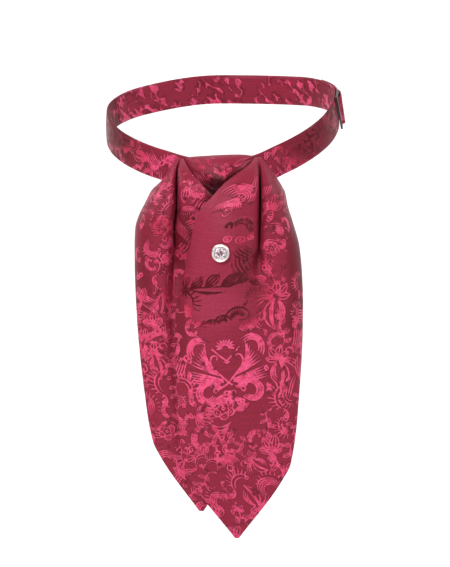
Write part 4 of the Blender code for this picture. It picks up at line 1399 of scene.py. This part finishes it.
def wrapFace(settings):
    rows = np.array(settings["rows"], float)
    across = np.linspace(rows[0, 0], rows[-1, 0], settings["stations"])
    at = tableAt(settings["columns"], settings["rows"], across)
    weights = splineWeights(len(settings["down"]), np.linspace(0, 1, settings["profile"]))
    down, out = weights @ np.array(settings["down"]), weights @ np.array(settings["out"])
    height = at["top"][:, None] + (at["bottom"] - at["top"])[:, None] * down[None, :]
    gather = np.linspace(settings["gatherLeast"], 1.0, len(across))[:, None]
    fade = np.clip(at["bulge"] / at["bulge"].max(), 0, 1)[:, None]
    rise = settings["foldHeight"] * gather * fade
    folds = rise * np.sin(2 * math.pi * settings["folds"] * down)[None, :] * out[None, :]
    angle = np.degrees(np.arcsin((across + neck["shift"]) / neck["halfWidth"]))[:, None]
    standOff = strap["seamGap"] + bladeWall + at["bulge"][:, None] * out[None, :] + folds
    face = neckPoint(angle, 0 * standOff, standOff)
    face[..., 0] = across[:, None]
    face[..., 2] = height
    return pressCreases(face, settings["creases"])


wrap = wrapFace(wrapSettings)
wrapDown = clothPlaces(wrap.transpose(1, 0, 2), wrap.shape[0] // 2)[..., 1].T
wrapPlaces = np.stack([wrap[..., 0], wrapDown], axis=2)
knotWrap = makeCloth("knotWrap", wrap, backOf(wrap, bladeWall), wrapPlaces, wrapSettings, "knot_wrap")

# The pin: a scalloped setting with a ring of beads, and a cut stone, square to the blade under it
pinSettings = {
    "across": -2.0,
    "height": -68.4,
    "clearance": 0.35,
    "flatReach": 6.0,  # the cloth this near gives the pin its direction
    "sides": 96,
    "scallops": 16,
    "scallopDepth": 0.05,
    "setting": (
        (0.0, 0.0), (4.3, 0.0), (5.0, 0.35), (5.16, 0.8), (5.12, 1.3), (4.95, 1.7), (4.65, 1.9), (4.35, 1.86),
        (4.15, 1.6), (4.1, 1.5), (4.0, 1.72), (3.84, 1.84), (3.68, 1.72), (3.62, 1.3), (3.6, 0.75),
        (0.0, 0.7),
    ),
    "beads": 40,
    "beadRadius": 0.17,
    "beadRing": 4.13,
    "beadHeight": 1.62,
    "stone": ((3.3, 1.0), (3.5, 1.5), (3.36, 1.75), (2.6, 2.45), (1.7, 2.80), (0.0, 2.95)),
    "stoneSides": 16,
}


def pinPlace(settings):
    off = np.hypot(overFace[..., 0] - settings["across"], overFace[..., 2] - settings["height"])
    near = off < settings["flatReach"]
    normal = Vector(faceNormals(overFace)[near].mean(axis=0)).normalized()
    normal = normal if normal.y < 0 else -normal
    front = Vector((settings["across"], overFace[near][:, 1].min(), settings["height"]))
    place = front + normal * settings["clearance"]
    return Matrix.Translation(place * mm) @ normal.to_track_quat("Z", "Y").to_matrix().to_4x4()


# Rings of points turned about the axis, where a radius of 0 is one point. A round piece has a quad a side. A
# cut one has two triangles a side, each ring turned on by half a side, and slots by level, side and half
def turnedPiece(name, outline, sides, materials, shape, scallop=0.0, slots=None):
    radius, height = np.array(outline, float).T[:, :, None]
    turn = np.linspace(0, 2 * math.pi, sides, endpoint=False)
    wave = scallop * np.maximum(0.0, radius / radius.max() - 0.8) * 5 * np.cos(pinSettings["scallops"] * turn)
    if slots is not None:
        turn = turn + math.pi / sides * np.arange(len(outline))[:, None]
    place = ((radius + wave) * np.cos(turn), (radius + wave) * np.sin(turn), height)
    points = np.stack(np.broadcast_arrays(*place), axis=2).reshape(-1, 3) * mm
    index = np.arange(len(points)).reshape(-1, sides)
    used, index = np.unique(np.where(radius == 0, index[:, :1], index), return_inverse=True)
    index = index.reshape(-1, sides)
    low, high = index[:-1], index[1:]
    lowNext, highNext = np.roll(low, -1, axis=1), np.roll(high, -1, axis=1)
    if slots is None:
        corners = np.stack([low, lowNext, highNext, high], axis=2).reshape(-1, 4)
        slots = np.zeros(len(corners), int)
    else:
        corners = np.stack([low, lowNext, high, lowNext, highNext, high], axis=2).reshape(-1, 3)
    corners = [tuple(dict.fromkeys(face)) for face in corners.tolist()]
    made = [(face, slot) for face, slot in zip(corners, slots.ravel().tolist()) if len(face) > 2]
    if outline[0][0] > 0:
        made.append((tuple(index[0, ::-1].tolist()), 0))
    mesh = bpy.data.meshes.new(name)
    mesh.from_pydata(points[used].tolist(), [], [face for face, _ in made])
    mesh.polygons.foreach_set("material_index", [slot for _, slot in made])
    mesh.transform(shape)
    for material in materials[1:]:
        mesh.materials.append(material)
    return addPiece(name, mesh, materials[0])


def plainMaterial(name, **values):
    material, _, _, shader = newMaterial(name)
    setSockets(shader, {key.replace("_", " "): value for key, value in values.items()})
    return material


def makePin(settings):
    metal = plainMaterial("pinMetal", Base_Color=(0.97, 0.94, 0.88, 1.0), Metallic=1.0, Roughness=0.31)
    glass = {"Roughness": 0.05, "Coat_Weight": 1.0, "Coat_Roughness": 0.02}
    # The stone's pale facets are painted glints and reflections of the bright studio and its dark facets are
    # painted dark reflections, beside facets of the stone's own violet
    pale = plainMaterial("stonePaleReflection", Base_Color=(0.94, 0.90, 0.95, 1.0), **glass)
    violet = plainMaterial("stoneViolet", Base_Color=(0.62, 0.50, 0.56, 1.0), **glass)
    dark = plainMaterial("stoneDarkReflection", Base_Color=(0.20, 0.11, 0.13, 1.0), **glass)
    shape = pinPlace(settings)
    setting = turnedPiece(
        "pinSetting", settings["setting"], settings["sides"], [metal], shape, settings["scallopDepth"],
    )
    setting.data.shade_smooth()
    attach(setting, "root")
    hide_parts("pin_setting")
    ring, radius = settings["beadRing"], settings["beadRadius"] * mm
    beads = bmesh.new()
    for i in range(settings["beads"]):
        turn = 2 * math.pi * (i + 0.5) / settings["beads"]
        place = Vector((ring * math.cos(turn), ring * math.sin(turn), settings["beadHeight"])) * mm
        bmesh.ops.create_icosphere(beads, subdivisions=2, radius=radius, matrix=Matrix.Translation(place))
    made = bpy.data.meshes.new("pinBeads")
    beads.to_mesh(made)
    beads.free()
    made.transform(shape)
    made.shade_smooth()
    beadPiece = addPiece("pinBeads", made, metal)
    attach(beadPiece, "root")
    # Which facets take the painted reflections: at the lowest band and the top mostly violet with a few pale
    # glints, between them mostly pale with some violet and dark
    pattern = np.array((0, 1, 0, 0, 0, 1, 2, 0, 0, 1, 0, 0, 0, 0, 2, 0))
    table = np.array((1, 1, 1, 0, 0, 1, 1, 1, 1, 1, 0, 1, 1, 1, 1, 1))
    level, side, half = np.indices((len(settings["stone"]) - 1, settings["stoneSides"], 2))
    ends = (level == 0) | (level == level.max())
    slots = np.where(ends, table[side], pattern[(3 * side + 5 * level + 7 * half) % len(pattern)])
    stone = turnedPiece(
        "pinStone", settings["stone"], settings["stoneSides"], [pale, violet, dark], shape, slots=slots,
    )
    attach(stone, "root")
    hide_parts("pin_stone")


makePin(pinSettings)
print("pin made")

# The slide keeps its solid, with softened edges and black enamel
slideEdge = 0.2
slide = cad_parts["slider"]
enamel = plainMaterial("slideEnamel", Base_Color=(0.010, 0.010, 0.010, 1.0), Roughness=0.32, Coat_Weight=0.4)
slide.data.materials.clear()
slide.data.materials.append(enamel)
softEdge = slide.modifiers.new("softEdge", "BEVEL")
softEdge.width = slideEdge * mm
softEdge.segments = 2
softEdge.limit_method = "ANGLE"
print("slide finished")

# Studio: a plain pale floor and soft lights
studio = {
    "floorZ": -0.40,
    "halfWidth": 7.0,
    "front": -6.0,
    "back": 1.6,
    "bend": 0.9,
    "top": 3.4,
    "color": (0.93, 0.93, 0.93),
    "world": 0.17,
    "lights": (  # place, watts, size and what it points at
        ((-0.55, -1.45, 0.95), 23.0, 0.45, (0.0, -0.08, -0.08)),
        ((0.95, -1.30, 0.15), 4.0, 0.7, (0.0, -0.08, -0.08)),
        ((-1.6, 0.2, 1.4), 45.0, 1.2, (-0.6, 2.4, 0.4)),
        ((1.6, 0.2, 1.4), 45.0, 1.2, (0.6, 2.4, 0.4)),
    ),
}


# The floor runs back and turns up into the backdrop on a quarter circle
def makeStudio(settings):
    bend, back, turn = settings["bend"], settings["back"], np.linspace(0, math.pi / 2, 16)
    y = np.concatenate([[settings["front"]], back + bend * np.sin(turn), [back + bend]])
    z = settings["floorZ"] + np.concatenate([[0.0], bend * (1 - np.cos(turn)), [settings["top"]]])
    sides = (-settings["halfWidth"], settings["halfWidth"])
    corners = [(x, float(y[i]), float(z[i])) for i in range(len(y)) for x in sides]
    mesh = bpy.data.meshes.new("floor")
    mesh.from_pydata(corners, [], [(2 * i, 2 * i + 1, 2 * i + 3, 2 * i + 2) for i in range(len(y) - 1)])
    mesh.shade_smooth()
    paleFloor = plainMaterial("paleFloor", Base_Color=(*settings["color"], 1.0), Roughness=0.9)
    addPiece("floor", mesh, paleFloor)
    world = bpy.data.worlds.new("studio")
    world.use_nodes = True
    world.node_tree.nodes["Background"].inputs["Color"].default_value = (1.0, 1.0, 1.0, 1.0)
    world.node_tree.nodes["Background"].inputs["Strength"].default_value = settings["world"]
    scene.world = world
    for i, (place, power, size, aim) in enumerate(settings["lights"]):
        light = bpy.data.lights.new(f"light{i}", "AREA")
        light.energy, light.size = power, size
        lamp = bpy.data.objects.new(f"light{i}", light)
        lamp.location = place
        lamp.rotation_euler = (Vector(place) - Vector(aim)).to_track_quat("Z", "Y").to_euler()
        scene.collection.objects.link(lamp)


makeStudio(studio)
print("studio made")
